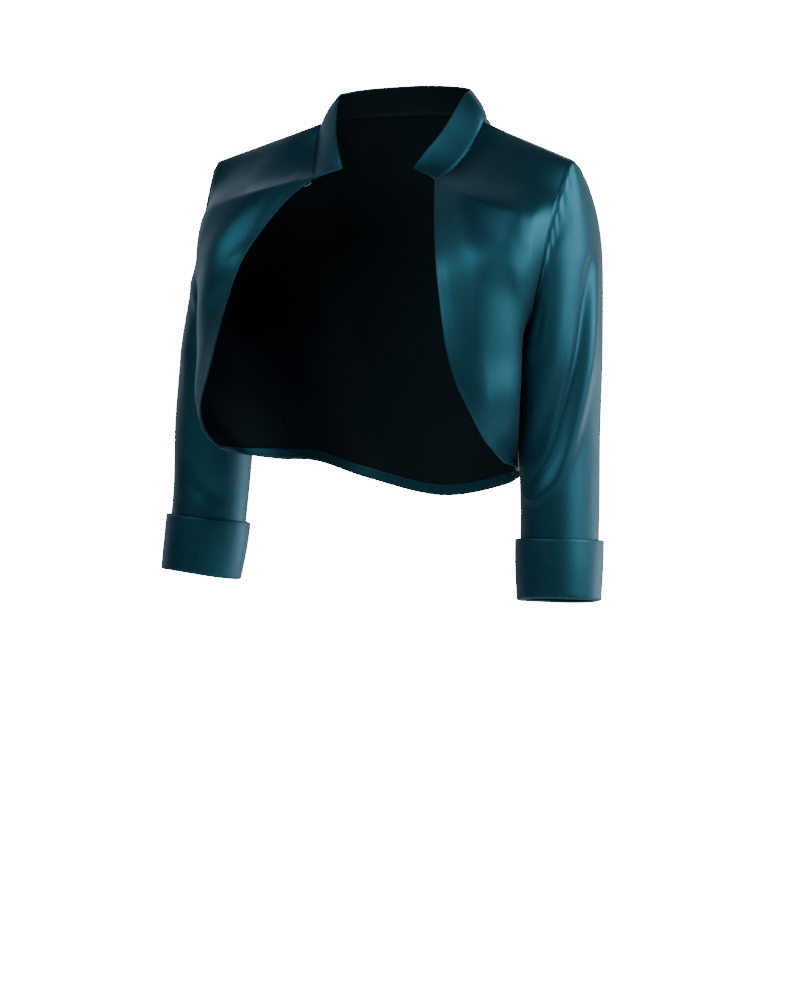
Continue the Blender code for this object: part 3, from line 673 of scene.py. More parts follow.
def cloth_mesh(name, outer, inner, closed, lips, lining_and_painted_shade_inside):
    """A closed wall between two grids, its borders rounded off by the lips' reach in millimetres.

    Material 0 is the outer cloth with its turned edges, 1 the inside and the raw seam edges."""
    rows, columns = outer.shape[:2]
    count = rows * columns
    points = [outer.reshape(-1, 3), inner.reshape(-1, 3)]
    total = 2 * count
    wrapped = np.concatenate([outer, outer[:, :1]], axis=1) if closed else outer

    def corner(row, column, layer):
        return layer * count + row * columns + column % columns

    faces, uvs, chart = grid_faces(wrapped, lambda r, c: corner(r, c, 0))
    faces = faces + grid_faces(wrapped, lambda r, c: corner(r, c, 1))[0]
    uvs = uvs + uvs
    # Inside faces take material 1, the dark lining, whose near-black colour is partly painted shade
    finishes = [0] * (len(faces) // 2) + [1 if lining_and_painted_shade_inside else 0] * (len(faces) // 2)
    if closed:
        loops = [[(0, c) for c in range(columns)], [(rows - 1, c) for c in range(columns)]]
    else:
        loops = [perimeter(rows, columns)]
    for loop in loops:
        ends = np.array([outer[cell] for cell in loop])
        ins = np.array([inner[cell] for cell in loop])
        if closed:
            inside = 1 if loop[0][0] == 0 else rows - 2
            away = unit(ends - outer[inside])
        else:
            deeper = [(min(max(r, 1), rows - 2), min(max(c, 1), columns - 2)) for r, c in loop]
            away = unit(ends - np.array([outer[cell] for cell in deeper]))
        reach = np.array([lips[cell] for cell in loop])[:, None]
        layers = [[corner(r, c, 0) for r, c in loop]]
        for step in range(1, LIP_STEPS):
            angle = math.pi * step / LIP_STEPS
            middle = (ends + ins) / 2 + (ends - ins) / 2 * math.cos(angle)
            points.append(middle + away * reach * math.sin(angle))
            layers.append([total + index for index in range(len(loop))])
            total += len(loop)
        layers.append([corner(r, c, 1) for r, c in loop])
        for order, (near, far) in enumerate(zip(layers, layers[1:])):
            for index in range(len(loop)):
                after = (index + 1) % len(loop)
                faces.append([near[index], near[after], far[after], far[index]])
                cells = (loop[index], loop[after], loop[after], loop[index])
                uvs.append([chart[cell] for cell in cells])
                sewn = lips[loop[index]] >= SEAM_LIP
                finishes.append(1 if sewn and order > 0 else 0)
    return make_piece(name, np.concatenate(points), faces, uvs, finishes)


def show(name, data):
    """A new object in the scene."""
    piece = bpy.data.objects.new(name, data)
    bpy.context.scene.collection.objects.link(piece)
    return piece


def baked(holder, name):
    """The evaluated shape of a holder as a piece of its own; the holder goes."""
    seen = holder.evaluated_get(bpy.context.evaluated_depsgraph_get())
    mesh = bpy.data.meshes.new_from_object(seen)
    mesh.name = name
    bpy.data.objects.remove(holder)
    mesh.shade_smooth()
    return show(name, mesh)


def make_piece(name, points, faces, uvs, finishes):
    mesh = bpy.data.meshes.new(name)
    mesh.from_pydata((points * MM).tolist(), [], faces)
    flat = np.array(uvs) / CHART_UNIT
    mesh.uv_layers.new(name="cloth").data.foreach_set("uv", flat.reshape(-1))
    mesh.polygons.foreach_set("material_index", finishes)
    shape = bmesh.new()
    shape.from_mesh(mesh)
    bmesh.ops.recalc_face_normals(shape, faces=shape.faces[:])
    shape.to_mesh(mesh)
    shape.free()
    mesh.shade_smooth()
    return show(name, mesh)


# The pieces

def cut_grid(surface, places, acrosses):
    """Surface points at every pair of places, with the places themselves."""
    place, across = np.meshgrid(places, acrosses, indexing="ij")
    points = surface(place.ravel(), across.ravel())
    return points.reshape(place.shape + (3,)), place, across


class Panel:
    """A shaped piece of cloth in millimetres: outer and inner points, and where they lie."""

    def __init__(self, places, acrosses, outer, normals, wall, side):
        self.places = places
        self.acrosses = acrosses
        self.flip = np.array([side, 1, 1])
        self.outer = outer
        self.normals = normals
        self.inner = outer - normals * wall
        self.lips = np.full(outer.shape[:2], SEAM_LIP)

    def at(self, table, place, across):
        """Values of a grid between its points, at pairs of places."""
        rows = np.interp(place, self.places, np.arange(len(self.places)))
        columns = np.interp(across, self.acrosses, np.arange(len(self.acrosses)))
        row = np.minimum(rows.astype(int), len(self.places) - 2)
        column = np.minimum(columns.astype(int), len(self.acrosses) - 2)
        down = (rows - row)[:, None]
        along = (columns - column)[:, None]
        upper = table[row, column] * (1 - along) + table[row, column + 1] * along
        lower = table[row + 1, column] * (1 - along) + table[row + 1, column + 1] * along
        return upper * (1 - down) + lower * down

    def mesh(self, name):
        outer, inner = self.outer * self.flip, self.inner * self.flip
        return cloth_mesh(name, outer, inner, False, self.lips, lining_and_painted_shade_inside=True)


def shaped_panel(grid, height, places, acrosses, side=1, wall=CLOTH):
    outer, normals = raised(grid, height, False, grid * np.array([0, 0, 1]))
    return Panel(places, acrosses, outer, normals, wall, side)


def panel_height(grid, folds, seam, edge, seed):
    """Height over a panel's plain surface: folds, unevenness, sunk seams and a turned edge."""
    height = fold_heights(folds, grid[..., 0], grid[..., 2])
    height += UNEVENNESS * drift(grid[..., 0], grid[..., 2], seed)
    near_edge = EDGE_FOLD_SHARE + (1 - EDGE_FOLD_SHARE) * ease(edge / FOLD_MARGIN)
    height *= ease(seam / FOLD_MARGIN) * near_edge
    height -= SEAM_DIP * np.exp(-((seam / SEAM_SPREAD) ** 2))
    return height + EDGE_RISE * (1 - ease((edge - EDGE_FLAT) / EDGE_FLAT))


def front_panel(side, folds, seed):
    places = crowded(PANEL_CUT_ROWS)
    acrosses = crowded(FRONT_CUT_COLUMNS)
    grid, place, _ = cut_grid(front_surface, places, acrosses)
    top, bottom, first, last = border_reach(grid)
    neck_end = NECK_ROWS / PANEL_ROWS
    past_neck = np.maximum(place - neck_end, 0) * FRONT_LENGTH
    before_edge = np.maximum(neck_end - place, 0) * FRONT_LENGTH
    seam = np.minimum.reduce([top, first, last + past_neck])
    edge = np.minimum(last + before_edge, bottom)
    height = panel_height(grid, folds, seam, edge, seed)
    panel = shaped_panel(grid, height, places, acrosses, side)
    lips = panel.lips
    lips[places > neck_end, -1] = EDGE_LIP
    lips[-1] = EDGE_LIP
    return panel


def back_panel():
    places = crowded(PANEL_CUT_ROWS)
    acrosses = 2 * crowded(BACK_CUT_COLUMNS)
    grid, _, _ = cut_grid(back_surface, places, acrosses)
    top, bottom, first, last = border_reach(grid)
    seam = np.minimum.reduce([top, first, last])
    height = panel_height(grid, BACK_FOLDS, seam, bottom, seed=5)
    panel = shaped_panel(grid, height, places, acrosses)
    lips = panel.lips
    lips[:, 0] = ARMHOLE_LIP
    lips[:, -1] = ARMHOLE_LIP
    lips[-1] = EDGE_LIP
    return panel


def sleeve_piece(name, table, folds, side, seed):
    places = np.linspace(0, 1, SLEEVE_ROWS + 1)
    turns = np.arange(TURNS) * 360 / TURNS
    surface = lambda place, turn: sleeve_surface(table, place, turn)
    grid, place, turn = cut_grid(surface, places, turns)
    middle = grid.mean(axis=1, keepdims=True)
    height = np.zeros_like(turn)
    for whole_turn in (0, 360):
        round_way = (turn - whole_turn) * TURN_TO_MM
        scaled = [tuple((t * TURN_TO_MM, z) for t, z in fold[:-2]) + fold[-2:] for fold in folds]
        height += fold_heights(scaled, round_way, grid[..., 2])
    height += UNEVENNESS * drift(grid[..., 2], np.cos(np.radians(turn)) * SLEEVE_DRIFT, seed)
    height *= ease(place / FOLDS_START) * (1 - ease((place - FOLDS_END) / FOLDS_FADE))
    seam = run_lengths(grid, 0)
    angle = np.radians(turn)
    over = np.clip(np.cos(angle) + PUCKER_ROUND, 0, 1)
    shift = sum(size * np.sin(times * angle) for size, times in PUCKER_SHIFTS)
    wave = np.sin(CAP_PUCKERS * angle + shift)
    height += PUCKER_HEIGHT * wave * over * np.exp(-(((seam - PUCKER_PLACE) / PUCKER_REACH) ** 2))
    height += SEAM_RIDGE * np.exp(-(((seam - RIDGE_PLACE) / RIDGE_WIDTH) ** 2))
    height -= SEAM_DIP * np.exp(-((seam / SEAM_SPREAD) ** 2))
    outer, normals = raised(grid, height, True, middle)
    flip = np.array([side, 1, 1])
    lips = np.zeros((SLEEVE_ROWS + 2, TURNS))
    lips[0] = SEAM_LIP
    inner = outer - normals * CLOTH
    under = ease((UNDER_FADE - np.cos(angle[:1])) / (2 * UNDER_FADE))
    behind = ease((BEHIND_FADE - np.sin(angle[:1])) / (2 * BEHIND_FADE))
    tuck = unit(outer[:1] - outer[1:2]) * SEAM_ALLOWANCE * (under * behind)[..., None]
    outer = np.concatenate([outer[:1] + tuck, outer])
    inner = np.concatenate([inner[:1] + tuck, inner])
    piece = cloth_mesh(name, outer * flip, inner * flip, True, lips, lining_and_painted_shade_inside=True)
    # The tucked seam allowance takes the dark lining, partly painted shade
    for face in piece.data.polygons[:TURNS]:
        face.material_index = 1
    return piece


def cuff_profile():
    """Places round a turned-back cuff's section: out from the sleeve's face, up from its end."""
    inside = -CLOTH
    outside = CUFF_CLEARANCE + CUFF_WALL
    bottom = (outside - inside) / 2
    section = []
    half_turn = [math.pi * step / CUFF_ROUND_STEPS for step in range(CUFF_ROUND_STEPS + 1)]
    for angle in half_turn:
        away = (inside + outside) / 2 - bottom * math.cos(angle)
        section.append((away, -CUFF_WALL * math.sin(angle)))
    for step in range(1, CUFF_SIDE_STEPS):
        part = step / CUFF_SIDE_STEPS
        away = outside + CUFF_FLARE * part + CUFF_BELLY * math.sin(math.pi * part)
        section.append((away, (CUFF_DEPTH - CUFF_WALL / 2) * part))
    for angle in half_turn:
        away = outside + CUFF_FLARE - CUFF_WALL / 2 * (1 - math.cos(angle))
        section.append((away, CUFF_DEPTH - CUFF_WALL / 2 * (1 - math.sin(angle))))
    for step in range(1, CUFF_ROUND_STEPS):
        part = 1 - step / CUFF_ROUND_STEPS
        section.append((CUFF_CLEARANCE + CUFF_FLARE * part, CUFF_DEPTH * part * CUFF_INSIDE_SHARE))
    section.append((CUFF_CLEARANCE, -CUFF_INSIDE_GAP))
    section.append((inside + CUFF_INSIDE_GAP, -CUFF_INSIDE_GAP))
    return np.array(section)


def cuff_piece(name, table, side, seed):
    section = cuff_profile()
    turns = np.arange(TURNS) * 360 / TURNS
    length = np.linalg.norm(np.subtract(table[0][1:4], table[-1][1:4])) / (1 - CAP_PLACE)
    step, turn = np.meshgrid(np.arange(len(section)), turns, indexing="ij")
    away = section[step, 0]
    rise = section[step, 1]
    outer_face = away > CUFF_CLEARANCE + CUFF_WALL * CUFF_FACE_SHARE
    upper = ease(rise / CUFF_DEPTH)
    angle = np.radians(turn)
    wave = np.sin(2 * angle + seed) + CUFF_SECOND_WAVE * np.sin(5 * angle + 2 * seed)
    rise = rise + CUFF_WAVE * wave * upper - CUFF_HEM_WAVE * np.sin(3 * angle) * (rise < 0)
    seam = (turn - CUFF_SEAM_TURN) * TURN_TO_MM
    away = away - CUFF_SEAM_DIP * np.exp(-((seam / CUFF_SEAM_WIDTH) ** 2)) * outer_face
    soft = drift(turn * TURN_TO_MM, rise, seed) * CUFF_DRIFT + CUFF_DRIFT_WAVE * wave
    swell = np.sin(math.pi * np.clip(rise / CUFF_DEPTH, 0, 1))
    away = away + UNEVENNESS * soft * outer_face * swell
    place = 1 - np.maximum(rise, 0) / length
    base = sleeve_surface(table, place.ravel(), turn.ravel()).reshape(turn.shape + (3,))
    end = sleeve_frame(table, np.array([1.0]))
    _, half_out, half_fore, out, fore, down = (row[0] for row in end)
    angle = angle[..., None]
    outward = unit(out * np.cos(angle) / half_out + fore * np.sin(angle) / half_fore)
    points = base + outward * away[..., None] + down * np.maximum(-rise, 0)[..., None]
    return ring_mesh(name, points * np.array([side, 1, 1]))


def ring_mesh(name, grid):
    """A solid whose sections run round a loop, with its chart in millimetres."""
    rows, columns = grid.shape[:2]
    wrapped = np.concatenate([grid, grid[:1]], axis=0)
    wrapped = np.concatenate([wrapped, wrapped[:, :1]], axis=1)
    faces, uvs, _ = grid_faces(wrapped, lambda r, c: r % rows * columns + c % columns)
    return make_piece(name, grid.reshape(-1, 3), faces, uvs, [0] * len(faces))


def collar_piece():
    parts = crowded(COLLAR_CUT_ROWS)
    ways = 1 - 2 * crowded(COLLAR_CUT_COLUMNS)

    def surface(part, way):
        near = np.abs(way)
        seam_line, top_line = neckline(near), collar_top(near)
        point = (1 - part[:, None]) * seam_line + part[:, None] * top_line
        outward = unit(point * np.array(COLLAR_OUTWARD))
        point = point + outward * (COLLAR_BOW * np.sin(math.pi * part))[:, None]
        point[:, 0] *= np.where(way < 0, -1, 1)
        return point

    grid, _, way = cut_grid(surface, parts, ways)
    top, bottom, first, last = border_reach(grid)
    edge = np.minimum.reduce([bottom, first, last])
    height = COLLAR_UNEVENNESS * UNEVENNESS * drift(way * COLLAR_HALF, grid[..., 2], seed=8)
    height *= ease(top / COLLAR_MARGIN) * ease(edge / COLLAR_MARGIN)
    height -= SEAM_DIP * np.exp(-((top / SEAM_SPREAD) ** 2))
    panel = shaped_panel(grid, height, parts, ways, wall=COLLAR_CLOTH)
    for border in (panel.lips[-1], panel.lips[:, 0], panel.lips[:, -1]):
        border[:] = COLLAR_CLOTH / 2
    # The collar's inside takes the dark lining, partly painted shade where the neck would shade it
    return panel.mesh("collar_satin")


def strip_inside(panel, place, across, turn_in):
    """Points of a narrow facing: a border path, and how far it has turned the corner."""
    inward_place = -turn_in * SHORT_STEP
    inward_across = -(1 - turn_in) * SHORT_STEP
    border = panel.at(panel.outer, place, across)
    beside = panel.at(panel.outer, place + inward_place, across + inward_across)
    per_mm = 1 / np.linalg.norm(beside - border, axis=1)
    near, far = [], []
    for reach in np.linspace(FACING_SET_BACK, FACING_SET_BACK + FACING_WIDTH, FACING_ROWS):
        at_place = np.clip(place + inward_place * per_mm * reach, 0, 1)
        at_across = across + inward_across * per_mm * reach
        point = panel.at(panel.inner, at_place, at_across)
        normal = unit(panel.at(panel.normals, at_place, at_across))
        near.append((point - normal * FACING_CLEARANCE) * panel.flip)
        far.append((point - normal * (FACING_CLEARANCE + FACING_CLOTH)) * panel.flip)
    return np.array(near), np.array(far)


def facing_piece(name, near, far):
    """A facing strip, and the line along its inner border that its stitches follow."""
    lips = np.full(near.shape[:2], FACING_CLOTH / 2)
    piece = cloth_mesh(name, far, near, False, lips, lining_and_painted_shade_inside=False)
    return piece, far[-1]


def front_facing(name, panel):
    edge_places = np.linspace(NECK_ROWS / PANEL_ROWS + FACING_START, 1.0, FACING_EDGE_STEPS)
    hem_across = np.linspace(1.0, 0.0, FACING_HEM_STEPS)[1:]
    place = np.concatenate([edge_places, np.ones_like(hem_across)])
    across = np.concatenate([np.ones_like(edge_places), hem_across])
    before, after = (edge_places - 1) / FACING_CORNER_DOWN, (1 - hem_across) / FACING_CORNER_ALONG
    corner = np.concatenate([before, after])
    turn_in = 0.5 + 0.5 * np.sign(corner) * ease(np.abs(corner))
    return facing_piece(name, *strip_inside(panel, place, across, turn_in))


def back_facing(name, panel):
    across = np.linspace(0.0, 2.0, BACK_FACING_STEPS)
    ones = np.ones_like(across)
    return facing_piece(name, *strip_inside(panel, ones, across, ones))


def neck_corner(panel):
    """The inner corner at the collar's end, with the ways down the edge, inwards and off the cloth."""
    place = NECK_ROWS / PANEL_ROWS
    downs = np.array([place, place + CORNER_DOWN, place])
    spots = panel.at(panel.inner, downs, np.array([1.0, 1.0, 1 - CORNER_IN]))
    normal = unit(panel.at(panel.normals, np.array([place]), np.array([1.0])))[0]
    return spots[0], unit(spots[1] - spots[0]), unit(spots[2] - spots[0]), -normal


def wire_piece(name, paths, thickness):
    """A round wire or thread along one or more open paths, as one mesh."""
    curve = bpy.data.curves.new(name, "CURVE")
    curve.dimensions = "3D"
    curve.bevel_depth = thickness * MM / 2
    curve.bevel_resolution = 3
    curve.use_fill_caps = True
    for path in paths:
        spline = curve.splines.new("POLY")
        spline.points.add(len(path) - 1)
        for point, place in zip(spline.points, path):
            point.co = (*(place * MM), 1)
    return baked(show(name + "_path", curve), name)


def arc_path(panel, sweep, reach):
    corner, down, inside, off = neck_corner(panel)
    stand = FACING_CLEARANCE + FACING_CLOTH + ARC_STAND
    middle = corner + down * ARC_DOWN + inside * ARC_IN + off * stand
    path = []
    for step in range(ARC_STEPS + 1):
        angle = math.radians(-sweep / 2 + sweep * step / ARC_STEPS)
        point = middle - inside * reach * math.cos(angle) + down * reach * math.sin(angle)
        path.append(point * panel.flip)
    return path


def thread_loop(panel):
    """Two strands of thread laid round each other, worked into a small loop."""
    strands = []
    base = np.array(arc_path(panel, *LOOP_ARC))
    _, _, inside, off = neck_corner(panel)
    for strand in range(2):
        turn = 2 * math.pi * np.linspace(0, STRAND_TURNS, len(base))[:, None] + strand * math.pi
        twist = (np.cos(turn) * inside + np.sin(turn) * off) * panel.flip
        strands.append(base + twist * LOOP_THREAD * STRAND_OFFSET)
    return wire_piece("loop_thread", strands, LOOP_THREAD)


# Node trees

def set_inputs(made, inputs):
    for socket, value in inputs.items():
        made.inputs[socket].default_value = value


def node(tree, kind, inputs=None, **settings):
    """A new node with its settings, then the values of its inputs."""
    made = tree.nodes.new(kind)
    for name, value in settings.items():
        setattr(made, name, value)
    set_inputs(made, inputs or {})
    return made


def join(tree, links):
    """Joins nodes: each link is a node and its output, then a node and its input."""
    for source, output, target, entry in links:
        tree.links.new(source.outputs[output], target.inputs[entry])


def random_between(tree, pair):
    return node(tree, "FunctionNodeRandomValue", {"Min": pair[0], "Max": pair[1]}, data_type="FLOAT_VECTOR")


# Slip stitches by Geometry Nodes: small thread floats across a line, at a named spacing

def stitch_tree(finish):
    tree = bpy.data.node_groups.new("slip_stitches", "GeometryNodeTree")
    face = tree.interface
    face.new_socket("Line", in_out="INPUT", socket_type="NodeSocketGeometry")
    sockets = {}
    for label in ("Spacing", "Stitch Length", "Thread Thickness", "Seed"):
        kind = "NodeSocketInt" if label == "Seed" else "NodeSocketFloat"
        sockets[label] = face.new_socket(label, in_out="INPUT", socket_type=kind).identifier
    face.new_socket("Stitches", in_out="OUTPUT", socket_type="NodeSocketGeometry")
    start = node(tree, "NodeGroupInput")
    line = node(tree, "GeometryNodeMeshToCurve")
    spread = node(tree, "GeometryNodeResampleCurve", mode="LENGTH")
    tangent = node(tree, "GeometryNodeInputTangent")
    turned = node(tree, "FunctionNodeAlignRotationToVector", axis="Z")
    jitter = random_between(tree, STITCH_SCALES)
    tilt = node(tree, "FunctionNodeRotateRotation", rotation_space="LOCAL")
    lean = node(tree, "FunctionNodeEulerToRotation")
    angles = random_between(tree, STITCH_LEANS)
    halved = node(tree, "ShaderNodeMath", {1: 0.5}, operation="MULTIPLY")
    bead = node(tree, "GeometryNodeMeshUVSphere", {"Segments": 6, "Rings": 4, "Radius": 1.0})
    long_way = node(tree, "ShaderNodeCombineXYZ")
    stretched = node(tree, "GeometryNodeTransform")
    placed = node(tree, "GeometryNodeInstanceOnPoints")
    real = node(tree, "GeometryNodeRealizeInstances")
    coloured = node(tree, "GeometryNodeSetMaterial", {"Material": finish})
    join(tree, [
        (start, "Line", line, "Mesh"),
        (line, "Curve", spread, "Curve"),
        (start, "Spacing", spread, "Length"),
        (start, "Seed", jitter, "Seed"),
        (start, "Seed", angles, "Seed"),
        (tangent, "Tangent", turned, "Vector"),
        (angles, "Value", lean, "Euler"),
        (turned, "Rotation", tilt, "Rotation"),
        (lean, "Rotation", tilt, "Rotate By"),
        (start, "Thread Thickness", halved, 0),
        (halved, "Value", long_way, "X"),
        (halved, "Value", long_way, "Y"),
        (start, "Stitch Length", long_way, "Z"),
        (bead, "Mesh", stretched, "Geometry"),
        (long_way, "Vector", stretched, "Scale"),
        (spread, "Curve", placed, "Points"),
        (stretched, "Geometry", placed, "Instance"),
        (tilt, "Rotation", placed, "Rotation"),
        (jitter, "Value", placed, "Scale"),
        (placed, "Instances", real, "Geometry"),
        (real, "Geometry", coloured, "Geometry"),
        (coloured, "Geometry", node(tree, "NodeGroupOutput"), "Stitches"),
    ])
    return tree, sockets


def stitch_piece(name, lines, finish):
    """One mesh of slip stitches along every line given, in millimetres."""
    points, edges = [], []
    for line in lines:
        first = len(points)
        points += [tuple(point * MM) for point in line]
        edges += [(index, index + 1) for index in range(first, len(points) - 1)]
    mesh = bpy.data.meshes.new(name + "_line")
    mesh.from_pydata(points, edges, [])
    holder = show(name + "_line", mesh)
    worked = holder.modifiers.new("stitches", "NODES")
    worked.node_group, sockets = stitch_tree(finish)
    worked[sockets["Spacing"]] = STITCH_SPACING * MM
    worked[sockets["Stitch Length"]] = STITCH_LENGTH * MM / 2
    worked[sockets["Thread Thickness"]] = STITCH_THREAD * MM
    worked[sockets["Seed"]] = STITCH_SEED
    piece = baked(holder, name)
    piece.data.materials.clear()
    return piece


# Finishes

def cloth_group():
    """Fine long floats of thread, slow colour drift and a little unevenness of gloss."""
    tree = bpy.data.node_groups.new("woven_cloth", "ShaderNodeTree")
    kinds = {"Chart": "Vector", "Deep Colour": "Color", "Light Colour": "Color"}
    for label in ("Thread Scale", "Float Length", "Drift Scale", "Gloss Low", "Gloss High"):
        kinds[label] = "Float"
    for label, kind in kinds.items():
        tree.interface.new_socket(label, in_out="INPUT", socket_type="NodeSocket" + kind)
    for label, kind in {"Colour": "Color", "Roughness": "Float", "Height": "Float"}.items():
        tree.interface.new_socket(label, in_out="OUTPUT", socket_type="NodeSocket" + kind)
    start, end = node(tree, "NodeGroupInput"), node(tree, "NodeGroupOutput")
    stretch = node(tree, "ShaderNodeCombineXYZ", {"X": 1.0, "Z": 1.0})
    long_floats = node(tree, "ShaderNodeVectorMath", operation="MULTIPLY")
    threads = node(tree, "ShaderNodeTexNoise", {"Detail": 2.0, "Roughness": 0.6})
    slow = node(tree, "ShaderNodeTexNoise", {"Detail": 3.0})
    blend = node(tree, "ShaderNodeMix", data_type="RGBA")
    gloss = node(tree, "ShaderNodeMapRange", {"From Min": DRIFT_RANGE[0], "From Max": DRIFT_RANGE[1]})
    both = node(tree, "ShaderNodeMath", {1: THREAD_SHARE}, operation="MULTIPLY_ADD")
    faint = node(tree, "ShaderNodeMath", {1: DRIFT_SHARE, 2: DRIFT_START}, operation="MULTIPLY_ADD")
    join(tree, [
        (start, "Float Length", stretch, "Y"),
        (start, "Chart", long_floats, 0),
        (stretch, "Vector", long_floats, 1),
        (long_floats, "Vector", threads, "Vector"),
        (start, "Thread Scale", threads, "Scale"),
        (start, "Chart", slow, "Vector"),
        (start, "Drift Scale", slow, "Scale"),
        (slow, "Fac", faint, 0),
        (threads, "Fac", both, 0),
        (faint, "Value", both, 2),
        (both, "Value", blend, "Factor"),
        (start, "Deep Colour", blend, "A"),
        (start, "Light Colour", blend, "B"),
        (slow, "Fac", gloss, "Value"),
        (start, "Gloss Low", gloss, "To Min"),
        (start, "Gloss High", gloss, "To Max"),
        (blend, "Result", end, "Colour"),
        (gloss, "Result", end, "Roughness"),
        (threads, "Fac", end, "Height"),
    ])
    return tree


def new_finish(name):
    """A new material, with its tree and its shader."""
    finish = bpy.data.materials.new(name)
    finish.use_nodes = True
    return finish, finish.node_tree, finish.node_tree.nodes["Principled BSDF"]


def cloth_finish(name, weave, colours, gloss, threads, look):
    """A woven finish: its colours and gloss vary over it, the rest of its look doesn't."""
    finish, tree, shader = new_finish(name)
    chart = node(tree, "ShaderNodeUVMap", uv_map="cloth")
    woven = node(tree, "ShaderNodeGroup", node_tree=weave)
    set_inputs(woven, WEAVE)
    set_inputs(woven, {"Deep Colour": (*colours[0], 1), "Light Colour": (*colours[1], 1)})
    set_inputs(woven, {"Gloss Low": gloss[0], "Gloss High": gloss[1], "Thread Scale": threads})
    relief = node(tree, "ShaderNodeBump", {"Strength": WEAVE_STRENGTH, "Distance": WEAVE_DEPTH * MM})
    join(tree, [
        (chart, "UV", woven, "Chart"),
        (woven, "Colour", shader, "Base Color"),
        (woven, "Roughness", shader, "Roughness"),
        (woven, "Height", relief, "Height"),
        (relief, "Normal", shader, "Normal"),
    ])
    set_inputs(shader, look)
    return finish


def plain_finish(name):
    """A small fitting's finish, with a fine grain in its colour and surface."""
    colour, roughness, metallic, grain = FITTINGS[name]
    finish, tree, shader = new_finish(name)
    where = node(tree, "ShaderNodeTexCoord")
    noise = node(tree, "ShaderNodeTexNoise", {"Scale": grain})
    tone = node(tree, "ShaderNodeValToRGB")
    tone.color_ramp.elements[0].color = (*[channel * GRAIN_DARK for channel in colour], 1)
    tone.color_ramp.elements[1].color = (*colour, 1)
    relief = node(tree, "ShaderNodeBump", {"Strength": GRAIN_STRENGTH, "Distance": GRAIN_DEPTH * MM})
    join(tree, [
        (where, "Object", noise, "Vector"),
        (noise, "Fac", tone, "Fac"),
        (tone, "Color", shader, "Base Color"),
        (noise, "Fac", relief, "Height"),
        (relief, "Normal", shader, "Normal"),
    ])
    set_inputs(shader, {"Roughness": roughness, "Metallic": metallic})
    return finish


# Studio: a pale floor, soft lights and the photograph's camera

def soft_light(name, turn, height, distance, size, power):
    turn, height = math.radians(turn), math.radians(height)
    aim = Vector((0, 0, AIM_HEIGHT))
    level = distance * math.cos(height)
    place = aim + Vector((level * math.sin(turn), -level * math.cos(turn), distance * math.sin(height)))
    data = bpy.data.lights.new(name, "AREA")
    data.shape = "RECTANGLE"
    data.size, data.size_y = size
    data.energy = power
    aimed(name, data, place, aim)


def aimed(name, data, place, aim):
    """A light or camera at its place, turned to its aim."""
    made = show(name, data)
    made.location = place
    made.rotation_euler = (aim - place).to_track_quat("-Z", "Y").to_euler()
    return made


def studio():
    bpy.ops.mesh.primitive_plane_add(size=FLOOR_SIZE, location=(0, 0, FLOOR_LEVEL))
    floor = bpy.context.object
    floor.name = "studio_floor"
    pale, tree, shader = new_finish("pale_floor")
    set_inputs(shader, {"Base Color": FLOOR_TONE, "Roughness": FLOOR_ROUGHNESS})
    glow = node(tree, "ShaderNodeEmission", {"Strength": BACKGROUND_SEEN})
    shown_to_camera(tree, shader, glow, "Material Output")
    floor.data.materials.append(pale)
    for light in LIGHTS:
        soft_light(*light)


def shown_to_camera(tree, lighting, seen, end):
    """Joins two shaders: the camera sees one, and everything else is lit by the other."""
    path = node(tree, "ShaderNodeLightPath")
    either = node(tree, "ShaderNodeMixShader")
    join(tree, [
        (path, "Is Camera Ray", either, "Fac"),
        (lighting, 0, either, 1),
        (seen, 0, either, 2),
        (either, "Shader", tree.nodes[end], "Surface"),
    ])


def studio_air():
    """Dim light from all round, stronger from the white backdrop behind the jacket."""
    world = bpy.data.worlds.new("studio_air")
    bpy.context.scene.world = world
    world.use_nodes = True
    tree = world.node_tree
    air = tree.nodes["Background"]
    air.inputs["Color"].default_value = (*ROOM_TONE, 1)
    where = node(tree, "ShaderNodeTexCoord")
    facing = node(tree, "ShaderNodeVectorMath", {1: BACKDROP_WAY}, operation="DOT_PRODUCT")
    level = node(tree, "ShaderNodeMapRange", interpolation_type="SMOOTHSTEP")
    set_inputs(level, {"From Min": BACKDROP_FADE[0], "From Max": BACKDROP_FADE[1]})
    set_inputs(level, {"To Min": ROOM_LIGHT, "To Max": BACKDROP_LIGHT})
    join(tree, [
        (where, "Generated", facing, 0),
        (facing, "Value", level, "Value"),
        (level, "Result", air, "Strength"),
    ])
    seen = node(tree, "ShaderNodeBackground", {"Color": (1, 1, 1, 1), "Strength": BACKGROUND_SEEN})
    shown_to_camera(tree, air, seen, "World Output")


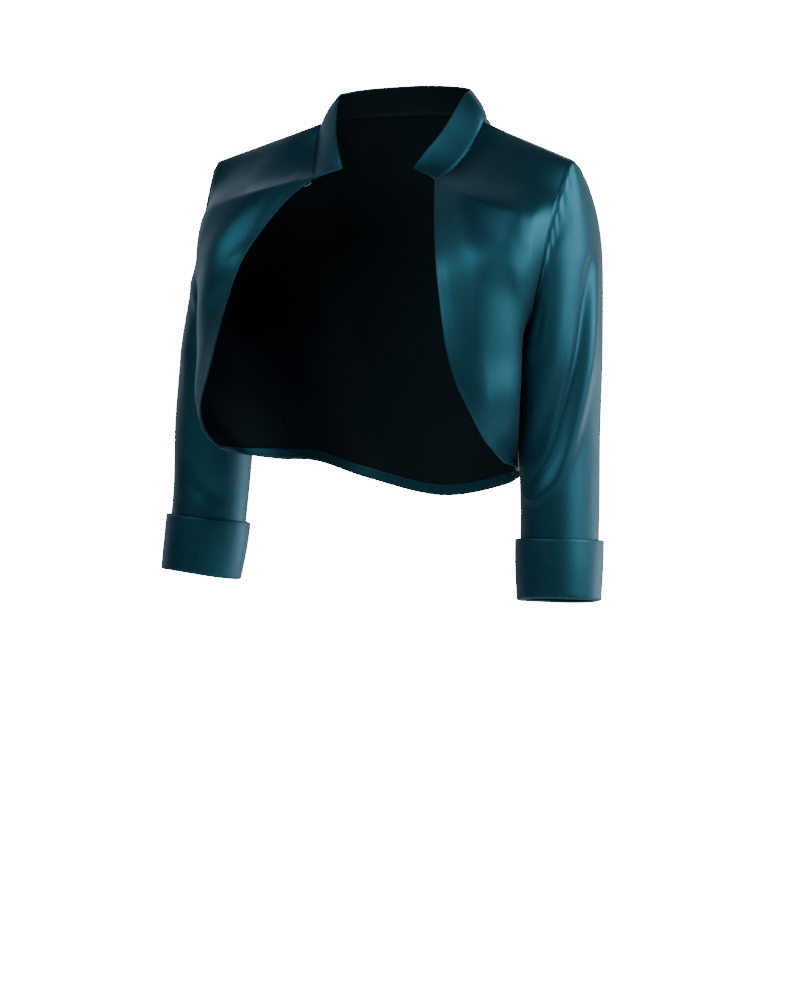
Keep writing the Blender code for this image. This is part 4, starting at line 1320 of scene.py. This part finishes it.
def photograph_camera():
    data = bpy.data.cameras.new("photograph_camera")
    data.lens = CAMERA_LENS
    data.sensor_width = CAMERA_SENSOR
    turn = math.radians(CAMERA_AZIMUTH)
    sideways = Vector((math.cos(turn), math.sin(turn), 0)) * CAMERA_SHIFT
    spot = Vector((math.sin(turn) * CAMERA_DISTANCE, -math.cos(turn) * CAMERA_DISTANCE, CAMERA_HEIGHT))
    aim = Vector((0, 0, CAMERA_AIM_HEIGHT)) + sideways
    bpy.context.scene.camera = aimed("photograph_camera", data, spot + sideways, aim)


def settle(piece, finishes, slot, *solids):
    """Gives a piece its finishes and its body, and hides the solids it stands for; the slot is not used."""
    for finish in finishes:
        piece.data.materials.append(finish)
    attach(piece, "root")
    if solids:
        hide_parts(*solids)


def main():
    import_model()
    weave = cloth_group()
    satin = cloth_finish("teal_duchess_satin", weave, *SATIN)
    # The dark lining's colour is partly painted shade for the jacket's inside
    lining_and_painted_shade = cloth_finish("dark_lining_and_painted_shade", weave, *LINING_AND_PAINTED_SHADE)
    thread = plain_finish("pale_thread")
    dark_thread = plain_finish("teal_thread")
    metal = plain_finish("dull_hook_metal")

    left = front_panel(1, LEFT_FRONT_FOLDS, seed=3)
    right = front_panel(-1, RIGHT_FRONT_FOLDS, seed=4)
    back = back_panel()
    pieces = {
        "left_front": left.mesh("left_front_satin"),
        "right_front": right.mesh("right_front_satin"),
        "back": back.mesh("back_satin"),
        "collar": collar_piece(),
        "left_sleeve": sleeve_piece("left_sleeve_satin", LEFT_SLEEVE, LEFT_SLEEVE_FOLDS, 1, seed=6),
        "right_sleeve": sleeve_piece("right_sleeve_satin", RIGHT_SLEEVE, RIGHT_SLEEVE_FOLDS, -1, seed=7),
        "left_cuff": cuff_piece("left_cuff_satin", LEFT_SLEEVE, 1, seed=2),
        "right_cuff": cuff_piece("right_cuff_satin", RIGHT_SLEEVE, -1, seed=9),
    }
    pieces["left_front_facing"], left_line = front_facing("left_facing_satin", left)
    pieces["right_front_facing"], right_line = front_facing("right_facing_satin", right)
    pieces["back_hem_facing"], back_line = back_facing("back_hem_satin", back)
    for solid, piece in pieces.items():
        settle(piece, [satin, lining_and_painted_shade], "satin", solid)
    settle(thread_loop(right), [thread], "thread", "neck_loop")
    hook = wire_piece("hook_wire", [arc_path(left, *HOOK_ARC)], HOOK_WIRE)
    settle(hook, [metal], "hook_metal", "neck_hook")
    stitches = stitch_piece("facing_stitches", [left_line, right_line, back_line], dark_thread)
    settle(stitches, [dark_thread], "thread")
    studio()
    studio_air()
    photograph_camera()


main()
